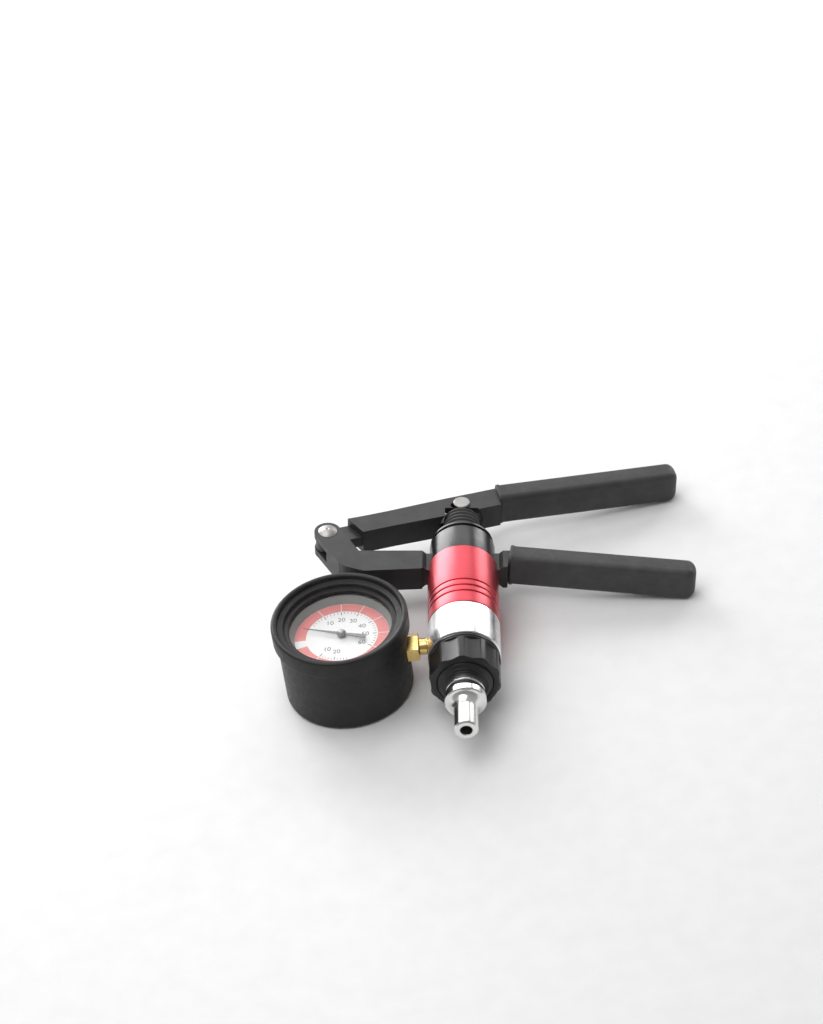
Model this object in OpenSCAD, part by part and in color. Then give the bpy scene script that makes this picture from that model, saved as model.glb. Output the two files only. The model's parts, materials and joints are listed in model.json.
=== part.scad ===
// Vacuum hand pump with a dial gauge, in millimetres, +Z up.
// The barrel lies along Y with its hose nozzle towards -Y, and the dial faces +Z.
// The origin is on the barrel's axis where the straight hose stem begins, behind its chamfered tip.

/* [Nozzle] */
// Diameter of the smooth stem that a hose is pushed on
stem_d = 11.8; // [9:0.1:13]
// Length of the straight stem
stem_len = 12.5; // [8:0.5:25]
// Air passage through the nozzle
stem_bore = 6; // [3:0.1:7]
// Chamfer on the stem's tip
tip_chamfer = 0.8; // [0.3:0.1:1.5]
// Length of the flare from the stem to the flange
flare_len = 6; // [2:0.1:8]
// Diameter of the flange in front of the seal ring
flange_d = 20.4; // [19:0.1:23]
// Thickness of the flange
flange_len = 3.8; // [2:0.1:6]
// Width of the land that the nozzle's seal ring sits in
seal_land = 3.1; // [2:0.1:4]
// Diameter of the collar that seats on the nose nut
collar_d = 19; // [17:0.1:19.8]
// Thickness of that collar
collar_len = 4.1; // [2:0.1:6]
// Diameter of the nozzle's threaded tail
tail_d = 10; // [8:0.1:11]
// Length of the nozzle's threaded tail
tail_len = 10.5; // [6:0.5:12]

/* [Selector] */
// Diameter of the threaded nose that carries the nut
nose_d = 16; // [14:0.1:17]
// Diameter of the nose nut
nut_d = 27.2; // [24:0.1:29]
// Length of the nose nut
nut_len = 6.4; // [4:0.1:8]
// How far the nut stands out of the selector ring
nut_proud = 2.5; // [1.5:0.1:3.5]
// Diameter of the hub that the selector ring turns on
hub_d = 22; // [20:0.1:25]
// Length of the selector ring
selector_len = 17.7; // [16:0.1:26]
// How far the ring's ridges lie inside the barrel's side
selector_step = 0.3; // [0:0.1:1]
// Number of finger flutes round the ring
flute_count = 10; // [6:1:14]
// Depth of a flute
flute_depth = 0.9; // [0.4:0.1:1.5]
// Radius that a flute is scooped with
flute_r = 26; // [12:1:60]
// Width of the plain lip behind the flutes
selector_lip = 2.4; // [1:0.1:4]
// Quarter turn between suction and pressure
selector_turn = 90; // [60:5:120]
// Diameter of the pin that stops the ring
stop_pin_d = 2.2; // [1.5:0.1:3]
// How far the stop pin stands out of the hub
stop_pin_out = 1.3; // [1:0.1:1.4]
// How deep the stop pin sits in the hub
stop_pin_in = 3; // [2:0.1:4]
// Distance of the stop pin's groove from the ring's end
stop_groove = 5; // [4.5:0.1:6]

/* [Barrel] */
// Outside diameter of the barrel and of the gauge block
barrel_d = 36; // [34:0.5:44]
// Length of the gauge block, the bright band
block_len = 22.6; // [18:0.2:32]
// Length of the thread by which the gauge block enters the barrel
spigot_len = 6; // [5:0.1:8]
// Length of the coloured barrel
barrel_len = 43.5; // [41:0.5:60]
// Wall of the barrel round the piston
barrel_wall = 4; // [3:0.1:5]
// Wall left round the gauge block's thread
thread_wall = 2; // [1.4:0.1:2.5]
// Wall that closes the piston's bore
end_wall = 3.5; // [2:0.1:5]
// Distance from the gauge block to the first grip groove
groove_start = 8; // [7:0.1:12]
// Distance from groove to groove
groove_pitch = 4.3; // [2.5:0.1:6]
// Number of grip grooves
groove_count = 3; // [1:1:5]
// Width of a grip groove
groove_w = 1.1; // [0.5:0.1:2]
// Depth of a grip groove
groove_depth = 0.6; // [0.3:0.1:1]

/* [Valves] */
// Thickness of the plate that holds the valves
plate_depth = 2; // [1.5:0.1:3]
// Distance of each valve from the barrel's axis
valve_out = 6; // [5:0.1:7]
// Radius of a valve's flange
valve_r = 4; // [3:0.1:4.5]
// Length of a valve
valve_len = 8; // [7:0.1:9]
// Section radius of the hidden seal rings
hidden_seal = 0.9; // [0.7:0.05:1]

/* [Cap] */
// Length of the cap above the barrel
cap_len = 16.5; // [14:0.5:24]
// How far the cap's side lies inside the barrel's side
cap_step = 1.3; // [0.8:0.1:2]
// Wall of the skirts over the handle's ring
skirt_wall = 1.6; // [1.2:0.1:2.5]
// Thickness of the cap's end
cap_end = 4; // [3:0.1:6]
// Height of the lip that holds the bellows' foot
cap_lip = 4.2; // [2.5:0.1:4.5]
// Outside diameter of the brass bush that guides the rod
bush_d = 14.4; // [13:0.1:15]
// Thickness of the bush's flange
bush_flange = 1.3; // [1:0.1:2]
// Length of the rod's rubber seal
rod_seal_len = 4.7; // [3:0.1:5]

/* [Fixed handle] */
// Turn of the handles about the barrel against the level dial, in degrees
clock = 6.5; // [0:0.5:10]
// Width of the handle's arm along the barrel
arm_w = 13; // [10:0.5:13.5]
// Thickness of the handle's arm and of the lever
arm_t = 14; // [12:0.5:16]
// Fullness of the arm's lower edge at the elbow
arm_belly = 2.9; // [0:0.1:4]
// Depth of the handle's ring below the barrel's rim
ring_drop = 5.5; // [4:0.1:7]
// Radial thickness of the handle's ring
ring_wall = 3; // [2.4:0.1:3.6]
// Thickness of the arm's neck where it passes through the skirts
neck_t = 10; // [8:0.5:11]
// Distance of the lever's pivot from the barrel's axis
pivot_out = 69.3; // [60:0.1:80]
// Height of the pivot above the arm's middle
pivot_rise = 21.9; // [18:0.1:28]
// Lean of the fork, in degrees
fork_lean = 60.5; // [50:0.5:75]
// Width of the fork
fork_w = 13.4; // [12:0.1:15]
// Depth of the fork's slot below the pivot
fork_depth = 11; // [9:0.1:13]
// Thickness of the lever's tongue in the fork
tongue_t = 6; // [5:0.1:7]
// Diameter of the pivot rivet
rivet_d = 6; // [5:0.1:7]
// Diameter of the rivet's heads
rivet_head_d = 9.8; // [8.5:0.1:11]
// Height of the rivet's heads
rivet_head_h = 1.9; // [1.2:0.1:3]
// Distance of the grip's mouth from the barrel's axis
grip_out = 24; // [22.5:0.1:30]
// Offset of the grip's mouth from the arm's middle
grip_rise = 3.5; // [2:0.1:3.6]
// Slope of the fixed grip, in degrees
grip_slope = -7.3; // [-9:0.1:0]
// Length of the fixed grip
grip_len = 95; // [80:1:110]
// Width of the fixed grip at its mouth
grip_w = 12.6; // [11:0.1:14]
// Thickness of both grips
grip_t = 19; // [15:0.5:20]
// Radius of the grips' edges
grip_edge = 3; // [2:0.1:4]
// Radius of the grips' far ends
grip_end_r = 5; // [3:0.1:5.4]
// Width of the tang inside a grip
tang_w = 5.2; // [4:0.1:5.4]
// Thickness of the tang inside a grip
tang_t = 9; // [7:0.1:10]
// Length of a tang as a share of its grip
tang_share = 0.7; // [0.5:0.05:0.85]
// Chamfer where the arm thickens outside the skirts
arm_chamfer = 2; // [1:0.1:3]

/* [Lever] */
// Height of the rod's pin above the pivot
pin_rise = 22.1; // [19:0.1:26]
// Diameter of the rod's pin
pin_d = 4.6; // [4:0.1:5]
// Diameter of the pin's heads
pin_head_d = 8.6; // [7.5:0.1:9.5]
// Height of the pin's heads
pin_head_h = 1.2; // [0.8:0.1:2]
// How far the lever closes, in degrees
lever_travel = 11; // [6:0.5:11]
// Width of the lever at its pivot end
lever_w_end = 12.4; // [11:0.1:14]
// Width of the lever's waist
lever_w_waist = 12.2; // [10:0.1:13]
// Width of the lever at the pin and the grip
lever_w = 13.4; // [12:0.1:15]
// Distance along the lever from the pin to the grip
lever_grip_gap = 20.5; // [16:0.5:28]
// Bend between the lever and its grip, in degrees
lever_bend = -6.3; // [-8:0.1:0]
// Offset of that grip's mouth from the lever's middle
lever_grip_rise = 2.2; // [1:0.1:2.8]
// Length of the lever's grip
lever_grip_len = 97; // [80:1:110]
// Width of the lever's grip at its mouth
lever_grip_w = 13; // [12:0.1:15]

/* [Piston] */
// Diameter of the piston rod
rod_d = 10; // [8:0.1:10.5]
// Width of the rod's flat eye
eye_w = 10.4; // [9:0.1:11]
// Length of the piston
piston_len = 9; // [8.5:0.1:12]
// Gap between the raised piston and the bore's end
piston_gap = 0.8; // [0.3:0.1:3]
// Width of the piston's seal
piston_seal_w = 2.5; // [1.5:0.1:2.6]
// Depth of the groove for the piston's seal
piston_seal_t = 2.4; // [1.8:0.1:2.6]
// Edge of the piston above its seal
piston_land = 1.5; // [1:0.1:2]
// Diameter of the rod's threaded end
stud_d = 8; // [6:0.1:8.5]
// Thickness of the nut under the piston
stud_nut_t = 3.5; // [2.5:0.1:3.8]
// Wire of the return spring
spring_wire = 1.2; // [0.8:0.1:1.3]
// Turns of the return spring
spring_turns = 5; // [3:1:5]
// Mean diameter of the return spring
spring_d = 19; // [18.6:0.1:19.6]
// Height of the spring's pocket in the piston
spring_pocket = 4; // [3:0.1:4.2]

/* [Bellows] */
// Diameter of the bellows at the cap
bellows_d = 22; // [20:0.5:25]
// Diameter of the bellows at the lever
bellows_top_d = 20.5; // [17:0.5:22]
// Number of folds
bellows_folds = 7; // [5:1:8]
// Depth of a fold
fold_depth = 2.2; // [1.5:0.1:2.6]
// Wall of the bellows
bellows_wall = 0.9; // [0.7:0.1:1.1]

/* [Gauge] */
// Free space between the barrel and the gauge's boot, bridged by the brass fitting
fitting_gap = 7.5; // [6:0.1:12]
// Diameter of the dial that shows
dial_show_d = 47; // [44:0.5:49]
// Height of the sloping ring between the dial and the lens
dial_ring_h = 3.9; // [3.6:0.1:5.6]
// Slope of that ring, measured across its radius
dial_ring_flare = 2.1; // [1:0.1:3]
// Width of that ring's top, from its edge to the case's wall
dial_ring_land = 2.4; // [1.5:0.1:3]
// Wall of the gauge's case
case_wall = 1; // [0.7:0.1:1.5]
// Rubber outside the case at the boot's rim
boot_rim_w = 5; // [4:0.5:9]
// Rubber outside the case below the rim
boot_wall = 3; // [2:0.5:3.5]
// How far the boot's lip reaches in from the case's side
boot_lip_w = 3.5; // [3:0.1:4]
// Height of the boot's thick rim
boot_rim_h = 9; // [6:0.5:11]
// Height of the boot's rim above the barrel's axis
rim_top = 23.8; // [22:0.1:26]
// Depth of the boot's back below the barrel's axis
boot_drop = 21.7; // [20:0.1:28]
// Rubber behind the gauge's case
boot_back = 4.5; // [3:0.1:5.5]
// Height of the dial's face above the barrel's axis
dial_top = 11.5; // [11.2:0.1:13]
// Thickness of the dial
dial_t = 0.8; // [0.5:0.1:1]
// Thickness of the lens
lens_t = 1.8; // [1:0.1:2]
// Length of the pointer's tip from its hub
pointer_tip = 20; // [15:0.5:21]
// Length of the pointer's tail
pointer_tail = 12.5; // [8:0.5:15]
// Direction of the pointer at rest, in degrees from +X
pointer_rest = 163; // [120:1:220]
// Diameter of the pointer's hub
pointer_hub_d = 4.6; // [3.5:0.1:6]
// Thread of the brass fitting
fitting_d = 7; // [6:0.1:7.5]
// Diameter of the fitting's round collar
fitting_collar_d = 8.4; // [8:0.1:10]
// Length of the gauge's own hexagon outside the boot
stem_hex_l = 5; // [3:0.1:5]
// Width across flats of that hexagon
stem_flats = 12.6; // [11:0.1:14]
// Diameter of the gauge's stem through the boot
gauge_stem_d = 9.4; // [8.6:0.1:10]

/* [Movement] */
// Module of the teeth
tooth_module = 0.3; // [0.28:0.01:0.32]
// Teeth of the pinion on the pointer's arbor
pinion_teeth = 12; // [12:1:14]
// Teeth of a full circle of the sector
sector_teeth = 84; // [78:1:90]
// Pressure angle of the teeth
pressure_angle = 25; // [22:1:27]
// Play between the teeth, along the pitch circle
tooth_play = 0.12; // [0.08:0.01:0.16]
// Pointer travel towards suction, in degrees
suction_sweep = 95; // [60:5:110]
// Pointer travel towards pressure, in degrees
pressure_sweep = 205; // [150:5:210]
// Length of the sector's tail
tail_arm = 4; // [3.6:0.1:4.4]
// Width and height of the socket's block inside the case
socket_w = 10; // [9:0.1:10.4]
// Distance of that block's inner end from the dial's middle
socket_in = 10; // [9:0.1:11]
// Distance of that block's outer end from the dial's middle
socket_out = 24; // [23:0.1:25]
// Thickness of the two plates of the works
plate_t = 1.2; // [0.8:0.1:1.3]
// Width of those plates
plate_w = 9; // [8:0.1:10]
// Distance of the plates' ends from the dial's middle
plate_end = 17.3; // [16.5:0.1:17.5]
// Diameter of the posts between the plates
post_d = 2.2; // [1.8:0.1:2.4]
// Distance of the posts from the dial's middle
post_out = 8; // [7.5:0.1:8.2]
// Distance of each post from the plates' middle line
post_side = 4.2; // [3.8:0.1:4.4]
// Diameter of the movement's screws
screw_d = 1.8; // [1.4:0.1:2]
// Diameter of those screws' heads
screw_head_d = 3.2; // [2.8:0.1:3.4]
// Thickness of the toothed sector
teeth_t = 1.4; // [1:0.1:1.5]
// Thickness of the link
link_t = 0.5; // [0.4:0.05:0.55]
// Radius of the link's pins
link_pin_r = 0.7; // [0.5:0.05:0.8]
// Direction of the bent tube's tip, in degrees
tube_tip_angle = 150; // [145:1:155]
// Size of the block that closes the tube's tip
tip_box = 4; // [3.6:0.1:4.4]
// Radius of the tube that the pressure bends
tube_r = 20.5; // [20:0.1:22]
// Width of that tube
tube_w = 3; // [2.4:0.1:3.4]
// Height of that tube
tube_h = 7; // [6:0.1:8]
// Wall of that tube
tube_wall = 0.6; // [0.4:0.1:0.8]
// Diameter of the movement's small shafts
arbor_d = 1.5; // [1.2:0.1:1.6]

/* [Fits] */
// Radial play of a turning or sliding fit
run = 0.06; // [0.03:0.01:0.1]
// Radial play of a fixed fit
seat = 0.04; // [0.02:0.01:0.1]
// Gap kept between pieces that pass each other
gap = 0.3; // [0.2:0.05:0.5]

/* [Hidden] */
$fn = 64;

// Stations along the barrel
y_flange = stem_len + flare_len;
y_land = y_flange + flange_len;
y_collar = y_land + seal_land;
y_seat = y_collar + collar_len;
y_selector = y_seat + nut_proud;
y_nut_end = y_seat + nut_len;
y_selector_end = y_selector + selector_len;
y_block = y_selector_end + gap;
y_block_end = y_block + block_len;
y_floor = y_block_end + spigot_len;
y_rim = y_block_end + barrel_len;
y_ring = y_rim - ring_drop;
y_ring_end = y_ring + arm_w;
y_bore_end = y_ring - end_wall;
y_cap_end = y_rim + cap_len;
y_neck_end = y_cap_end - cap_end;
y_arm = y_ring + arm_w / 2;
y_pivot = y_arm + pivot_rise;
y_pin = y_pivot + pin_rise;
y_port = y_block + block_len / 2;

// Radii about the barrel's axis
barrel_r = barrel_d / 2;
bore_r = barrel_r - barrel_wall;
thread_r = barrel_r - thread_wall;
cap_r = barrel_r - cap_step;
ring_r = cap_r - skirt_wall - seat;
collar_neck_r = ring_r - ring_wall - seat;
selector_r = barrel_r - selector_step;
rod_r = rod_d / 2;
seal_bore_r = bush_d / 2 + 0.8;
rod_way_r = rod_r + 1;

// The nozzle's seal ring fills its land and stands just inside the flange
ring_section = seal_land / 2 - seat;
ring_centre_r = flange_d / 2 - 0.4 - ring_section;

// The lever's line from its pivot to the rod's pin, and what closing it does
lever_angle = atan(pin_rise / pivot_out);
pin_reach = norm([pivot_out, pin_rise]);
closed_reach = pivot_out / cos(lever_angle - lever_travel);
pin_shift = pin_reach - closed_reach;
stroke = pivot_out * (tan(lever_angle) - tan(lever_angle - lever_travel));

// The bellows ends just below the lever
y_bellows = y_cap_end;
eye_drop = pin_d / 2 + 2.2;
y_bellows_end = y_pin - eye_drop;

// The rod's seal and bush in the barrel's neck
y_bush = y_neck_end - bush_flange;
y_rod_seal = y_bush - rod_seal_len;

// The piston, raised, and its spring
y_piston_end = y_bore_end - piston_gap;
y_piston = y_piston_end - piston_len;
y_seal_end = y_piston_end - piston_land;
y_seal = y_seal_end - piston_seal_w;
spring_r = spring_d / 2;
spring_low = y_floor + spring_wire / 2;
spring_high = y_piston + spring_pocket - spring_wire / 2;
spring_steps = 16;
spring_rings = spring_steps * spring_turns;
spring_sides = 6;

// Seal rings of the selector and of the block's thread, and the valve plate inside them
selector_seal_at = [y_nut_end + 3 * hidden_seal, y_nut_end + 7 * hidden_seal];
block_seal_at = y_block_end + spigot_len / 2;
plate_r = thread_r - 2 * hidden_seal - 1.2;

// The handles: where the fork's line meets the arm's line, and the tangs
elbow = [-pivot_out + pivot_rise / tan(fork_lean), y_arm];
pivot = [-pivot_out, y_pivot];
shoulder_in = barrel_r + 2 * gap;
tang_len = tang_share * grip_len;
lever_tang_len = tang_share * lever_grip_len;
tang_root = 1;

// The gauge's own frame: its middle, with the stem towards +X
show_r = dial_show_d / 2;
case_in_r = show_r + dial_ring_flare + dial_ring_land;
case_r = case_in_r + case_wall;
boot_r = case_r + boot_rim_w;
boot_body_r = case_r + boot_wall;
gauge_x = -(barrel_r + fitting_gap + boot_r);
case_top = dial_top + dial_ring_h + lens_t;
case_bottom = -boot_drop + boot_back;
dial_r = case_in_r - seat;
plate_low = socket_w / 2;
plate_high = dial_top - dial_t - plate_t;
link_low = plate_low + plate_t + 0.1;
teeth_low = link_low + link_t + 0.1;
pitch_pinion = tooth_module * pinion_teeth / 2;
pitch_sector = tooth_module * sector_teeth / 2;
sector_x = -(pitch_pinion + pitch_sector + 0.04);
tail_pin = [sector_x - tail_arm, 0];
tip_pin = polar(tube_r, tube_tip_angle) - polar(tip_box / 2, tube_tip_angle + 90);

tube_entry = asin((socket_w / 2 - tube_w / 2) / tube_r);
tube_turn = 360 - tube_entry - tube_tip_angle;
pointer_low = dial_top + 1.4;
pointer_t = 0.5;
pointer_top = pointer_low + 1.6;

// The brass fitting between the gauge block and the gauge
fitting_depth = 8;
boot_face = gauge_x + boot_body_r;
hex_low = boot_face - 1;
hex_high = boot_face + stem_hex_l;
fitting_out = hex_low + 1;

// A point at a radius and a direction
function polar(r, a) = r * [cos(a), sin(a)];

// Points along an arc
function arc(centre, r, from, to, steps = 12) =
    [for (i = [0:steps]) centre + polar(r, from + (to - from) * i / steps)];

// How far an involute has turned at radius r, in degrees
function involute(base_r, r) =
    let (t = sqrt(max(0, pow(r / base_r, 2) - 1)))
    t * 180 / PI - atan(t);

// The two flanks of one tooth at a given direction, from root to tip and back
function tooth(teeth, direction) =
    let (
        pitch_r = tooth_module * teeth / 2,
        base_r = pitch_r * cos(pressure_angle),
        root_r = pitch_r - 1.2 * tooth_module,
        tip_r = pitch_r + 0.8 * tooth_module,
        half = 90 / teeth - tooth_play / 4 / pitch_r * 180 / PI + involute(base_r, pitch_r),
        radii = [for (i = [0:4]) root_r + (tip_r - root_r) * i / 4]
    )
    concat(
        [for (r = radii) polar(r, direction - half + involute(base_r, r))],
        [for (i = [4:-1:0]) polar(radii[i], direction + half - involute(base_r, radii[i]))]
    );

// A solid turned about the barrel's axis from points of radius and station
module turned(profile) {
    rotate([-90, 0, 0])
        rotate_extrude()
            polygon(profile);
}

// A round bar or bore on the barrel's axis
module on_axis(r, from, to) {
    translate([0, from, 0])
        rotate([-90, 0, 0])
            cylinder(r = r, h = to - from);
}

// A ring of round section about the barrel's axis
module seal_ring(centre_r, section_r, station) {
    translate([0, station, 0])
        rotate([-90, 0, 0])
            rotate_extrude()
                translate([centre_r, 0])
                    circle(r = section_r);
}

// A round bar or bore along X at the gauge's port, from one X to another
module on_port(r, from, to) {
    translate([from, y_port, 0])
        rotate([0, 90, 0])
            cylinder(r = r, h = to - from);
}

// A hexagonal bar along X at the gauge's port
module hex_on_port(flats, from, to) {
    translate([from, y_port, 0])
        rotate([0, 90, 0])
            cylinder(d = flats / cos(30), h = to - from, $fn = 6);
}

// The handles' own frame, turned about the barrel
module on_handles() {
    rotate([0, clock, 0])
        children();
}

// The lever's own frame: from the pivot along the lever, in the handles' plane
module on_lever() {
    on_handles()
        translate([-pivot_out, y_pivot, 0])
            rotate(lever_angle)
                children();
}

// The fixed grip's own frame within the handles': from its mouth along the grip
module on_grip() {
    translate([grip_out, y_arm + grip_rise, 0])
        rotate(grip_slope)
            children();
}

// The lever grip's own frame within the lever's
module on_lever_grip() {
    translate([pin_reach + lever_grip_gap, lever_grip_rise, 0])
        rotate(lever_bend)
            children();
}

// The gauge's own frame
module on_gauge() {
    translate([gauge_x, y_port, 0])
        children();
}

// A plate of the given outline, centred on the handles' plane
module slab(t) {
    translate([0, 0, -t / 2])
        linear_extrude(t)
            children();
}

// A flat bar from one point to another
module strip(from, to, w) {
    reach = to - from;
    translate(from)
        rotate(atan2(reach.y, reach.x))
            translate([0, -w / 2])
                square([norm(reach), w]);
}

// A rectangle with round corners, centred
module round_rect(size, r) {
    square([size.x - 2 * r, size.y], center = true);
    square([size.x, size.y - 2 * r], center = true);
    for (x = [-1, 1], y = [-1, 1])
        translate([x * (size.x / 2 - r), y * (size.y / 2 - r)])
            circle(r = r);
}

// Outline of a grip from one side: square at its mouth, round at its far end
module grip_outline(len, w, r) {
    translate([0, -w / 2])
        square([len - r, w]);
    translate([len / 2, 0])
        round_rect([len, w], r);
}

// A moulded grip along +X from its mouth, with round edges, a round end and a socket for the tang
module grip(len, w, tang_len) {
    difference() {
        intersection() {
            rotate([90, 0, 90])
                linear_extrude(len)
                    round_rect([w, grip_t], grip_edge);
            slab(grip_t)
                grip_outline(len, w, grip_end_r);
            rotate([90, 0, 0])
                slab(w)
                    grip_outline(len, grip_t, grip_end_r);
        }
        translate([-1, -tang_w / 2 - seat, -tang_t / 2 - seat])
            cube([tang_len + 1 + gap, tang_w + 2 * seat, tang_t + 2 * seat]);
    }
}

// Bright turned stem with a flare, a flange, a land for the seal ring and a seat
module hose_nozzle() {
    stem_r = stem_d / 2;
    flange_r = flange_d / 2;
    edge = 0.5;
    flare_r = flange_r - edge;
    flare = [for (a = [0:10:90]) [
        flare_r - (flare_r - stem_r) * cos(a),
        stem_len + (flare_len - edge) * sin(a)
    ]];
    land_r = ring_centre_r - ring_section;
    color("silver")
        difference() {
            turned(concat(
                [[0, -tip_chamfer], [stem_r - tip_chamfer, -tip_chamfer], [stem_r, 0]],
                flare,
                [
                    [flange_r, y_flange], [flange_r, y_land - edge], [flange_r - edge, y_land],
                    [land_r, y_land], [land_r, y_collar], [collar_d / 2 - edge, y_collar],
                    [collar_d / 2, y_collar + edge], [collar_d / 2, y_seat],
                    [tail_d / 2, y_seat], [tail_d / 2, y_seat + tail_len], [0, y_seat + tail_len]
                ]
            ));
            on_axis(stem_bore / 2, -2 * tip_chamfer, y_seat + tail_len + 1);
        }
}

module nozzle_seal_ring() {
    color("black")
        seal_ring(ring_centre_r, ring_section, (y_land + y_collar) / 2);
}

// Black nut on the nose, with a shallow stepped cone in front
module nose_nut() {
    nut_r = nut_d / 2;
    face_r = collar_d / 2 + 0.6;
    step = 0.6;
    color("dimgray")
        turned([
            [nose_d / 2 + seat, y_seat], [face_r, y_seat], [face_r, y_seat + step],
            [face_r + 1.4, y_seat + step], [face_r + 1.9, y_seat + 2 * step],
            [nut_r - step, y_seat + 3 * step], [nut_r, y_seat + 4 * step],
            [nut_r, y_nut_end], [nose_d / 2 + seat, y_nut_end]
        ]);
}

// Fluted ring that turns on the gauge block's hub between suction and pressure
module selector_ring() {
    shoulder = y_nut_end + gap;
    edge = 0.9;
    lip = y_selector_end - selector_lip;
    mouth_r = nut_d / 2 + gap;
    groove_low = y_selector_end - stop_groove;
    groove_high = groove_low + stop_pin_d + 2 * gap;
    groove_r = hub_d / 2 + stop_pin_out + gap;
    pin_half = asin((stop_pin_d / 2 + gap) / (hub_d / 2));
    color("dimgray")
        difference() {
            turned([
                [hub_d / 2 + run, shoulder], [mouth_r, shoulder], [mouth_r, y_selector],
                [selector_r - 2 * edge, y_selector], [selector_r, y_selector + edge],
                [selector_r, lip], [selector_r - edge / 2, lip + 0.2],
                [selector_r - edge / 2, lip + 0.7], [selector_r, lip + 0.9],
                [selector_r, y_selector_end - edge / 2], [selector_r - edge / 2, y_selector_end],
                [hub_d / 2 + run, y_selector_end]
            ]);
            for (i = [0:flute_count - 1])
                rotate([0, (i + 0.5) * 360 / flute_count, 0])
                    translate([0, 0, selector_r - flute_depth + flute_r])
                        on_axis(flute_r, y_selector - 1, lip - 0.4);
            rotate([0, -90 - pin_half - selector_turn, 0])
                rotate([-90, 0, 0])
                    rotate_extrude(angle = selector_turn + 2 * pin_half)
                        translate([hub_d / 2 - 1, groove_low])
                            square([groove_r - hub_d / 2 + 1, groove_high - groove_low]);
        }
}

// Pin in the hub that the ring's inner groove stops against
module stop_pin_shape() {
    translate([0, y_selector_end - stop_groove + gap + stop_pin_d / 2, hub_d / 2 - stop_pin_in])
        cylinder(d = stop_pin_d, h = stop_pin_in + stop_pin_out);
}

module selector_stop_pin() {
    color("gray")
        stop_pin_shape();
}

// The two seal rings between the hub and the selector ring
module selector_seal_rings() {
    for (station = selector_seal_at)
        color("black")
            seal_ring(hub_d / 2 - hidden_seal, hidden_seal, station);
}

// Gauge block: the bright band, its hub and nose in front and its thread behind
module gauge_block() {
    nose_r = nose_d / 2;
    hub_r = hub_d / 2;
    edge = 0.5;
    seal_half = hidden_seal + seat;
    seal_in = hub_r - 2 * hidden_seal - seat;
    spigot_r = thread_r - seat;
    color("gainsboro")
        difference() {
            turned([
                [0, y_seat], [nose_r, y_seat], [nose_r, y_nut_end], [hub_r, y_nut_end], [hub_r, y_block],
                [barrel_r - edge, y_block], [barrel_r, y_block + edge],
                [barrel_r, y_block_end - edge], [barrel_r - edge, y_block_end],
                [spigot_r, y_block_end], [spigot_r, block_seal_at - seal_half],
                [spigot_r - 2 * seal_half, block_seal_at - seal_half],
                [spigot_r - 2 * seal_half, block_seal_at + seal_half],
                [spigot_r, block_seal_at + seal_half], [spigot_r, y_floor], [0, y_floor]
            ]);
            // thread for the nozzle, the passage behind it, and the gauge's port
            on_axis(tail_d / 2 + seat, y_seat - 1, y_seat + tail_len + 0.5);
            on_axis(stem_bore / 2, y_seat, y_port);
            on_port(fitting_d / 2 + seat, -barrel_r - 1, -barrel_r + fitting_depth + 0.5);
            on_port(stem_bore / 4, -barrel_r, 0);
            // seat of the valve plate, and the two valve pockets with their passages
            on_axis(plate_r + seat, y_floor - plate_depth, y_floor + 1);
            for (side = [-1, 1])
                translate([0, 0, side * valve_out]) {
                    on_axis(valve_r + seat, y_floor - plate_depth - valve_len, y_floor);
                    on_axis(stem_bore / 4, y_port - 2, y_floor);
                }
            translate([0, y_port, -valve_out])
                cylinder(r = stem_bore / 4, h = 2 * valve_out);
            // grooves of the selector's seal rings and the hole of its stop pin
            for (station = selector_seal_at)
                turned([
                    [seal_in, station - seal_half], [hub_r + 1, station - seal_half],
                    [hub_r + 1, station + seal_half], [seal_in, station + seal_half]
                ]);
            stop_pin_shape();
        }
}

module block_seal_ring() {
    color("black")
        seal_ring(thread_r - 2 * seat - hidden_seal, hidden_seal, block_seal_at);
}

// Plate that holds the two rubber valves in the block
module valve_plate() {
    color("gray")
        difference() {
            on_axis(plate_r, y_floor - plate_depth, y_floor);
            for (side = [-1, 1])
                translate([0, 0, side * valve_out])
                    on_axis(0.4 * valve_r, y_floor - plate_depth - 1, y_floor + 1);
        }
}

// Duckbill valve: a rubber flange and a bill that air opens one way
module duckbill() {
    flange = 0.2 * valve_len;
    tip = valve_len - seat;
    root_half = 0.65 * valve_r;
    tip_half = 0.7;
    slit_half = 0.15;
    difference() {
        union() {
            on_axis(valve_r, 0, flange);
            intersection() {
                on_axis(0.8 * valve_r, 0, tip);
                rotate([0, 90, 0])
                    slab(2 * valve_r)
                        polygon([
                            [-root_half, flange / 2], [root_half, flange / 2],
                            [tip_half, tip], [-tip_half, tip]
                        ]);
            }
        }
        rotate([0, 90, 0])
            slab(0.7 * valve_r)
                polygon([
                    [1 - root_half, -1], [root_half - 1, -1],
                    [slit_half, valve_len], [-slit_half, valve_len]
                ]);
    }
}

module inlet_valve() {
    color("darkslategray")
        translate([0, y_floor - plate_depth - valve_len, valve_out])
            duckbill();
}

module outlet_valve() {
    color("darkslategray")
        translate([0, y_floor - plate_depth, -valve_out])
            mirror([0, 1, 0])
                duckbill();
}

// The two ways that the handle's arms take through a skirt
module arm_ways(from, to) {
    way = neck_t + 2 * gap;
    way_in = (ring_r + collar_neck_r) / 2;
    on_handles()
        for (side = [0, 1])
            mirror([side, 0, 0])
                translate([way_in, from, -way / 2])
                    cube([barrel_r + 1 - way_in, to - from, way]);
}

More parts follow.
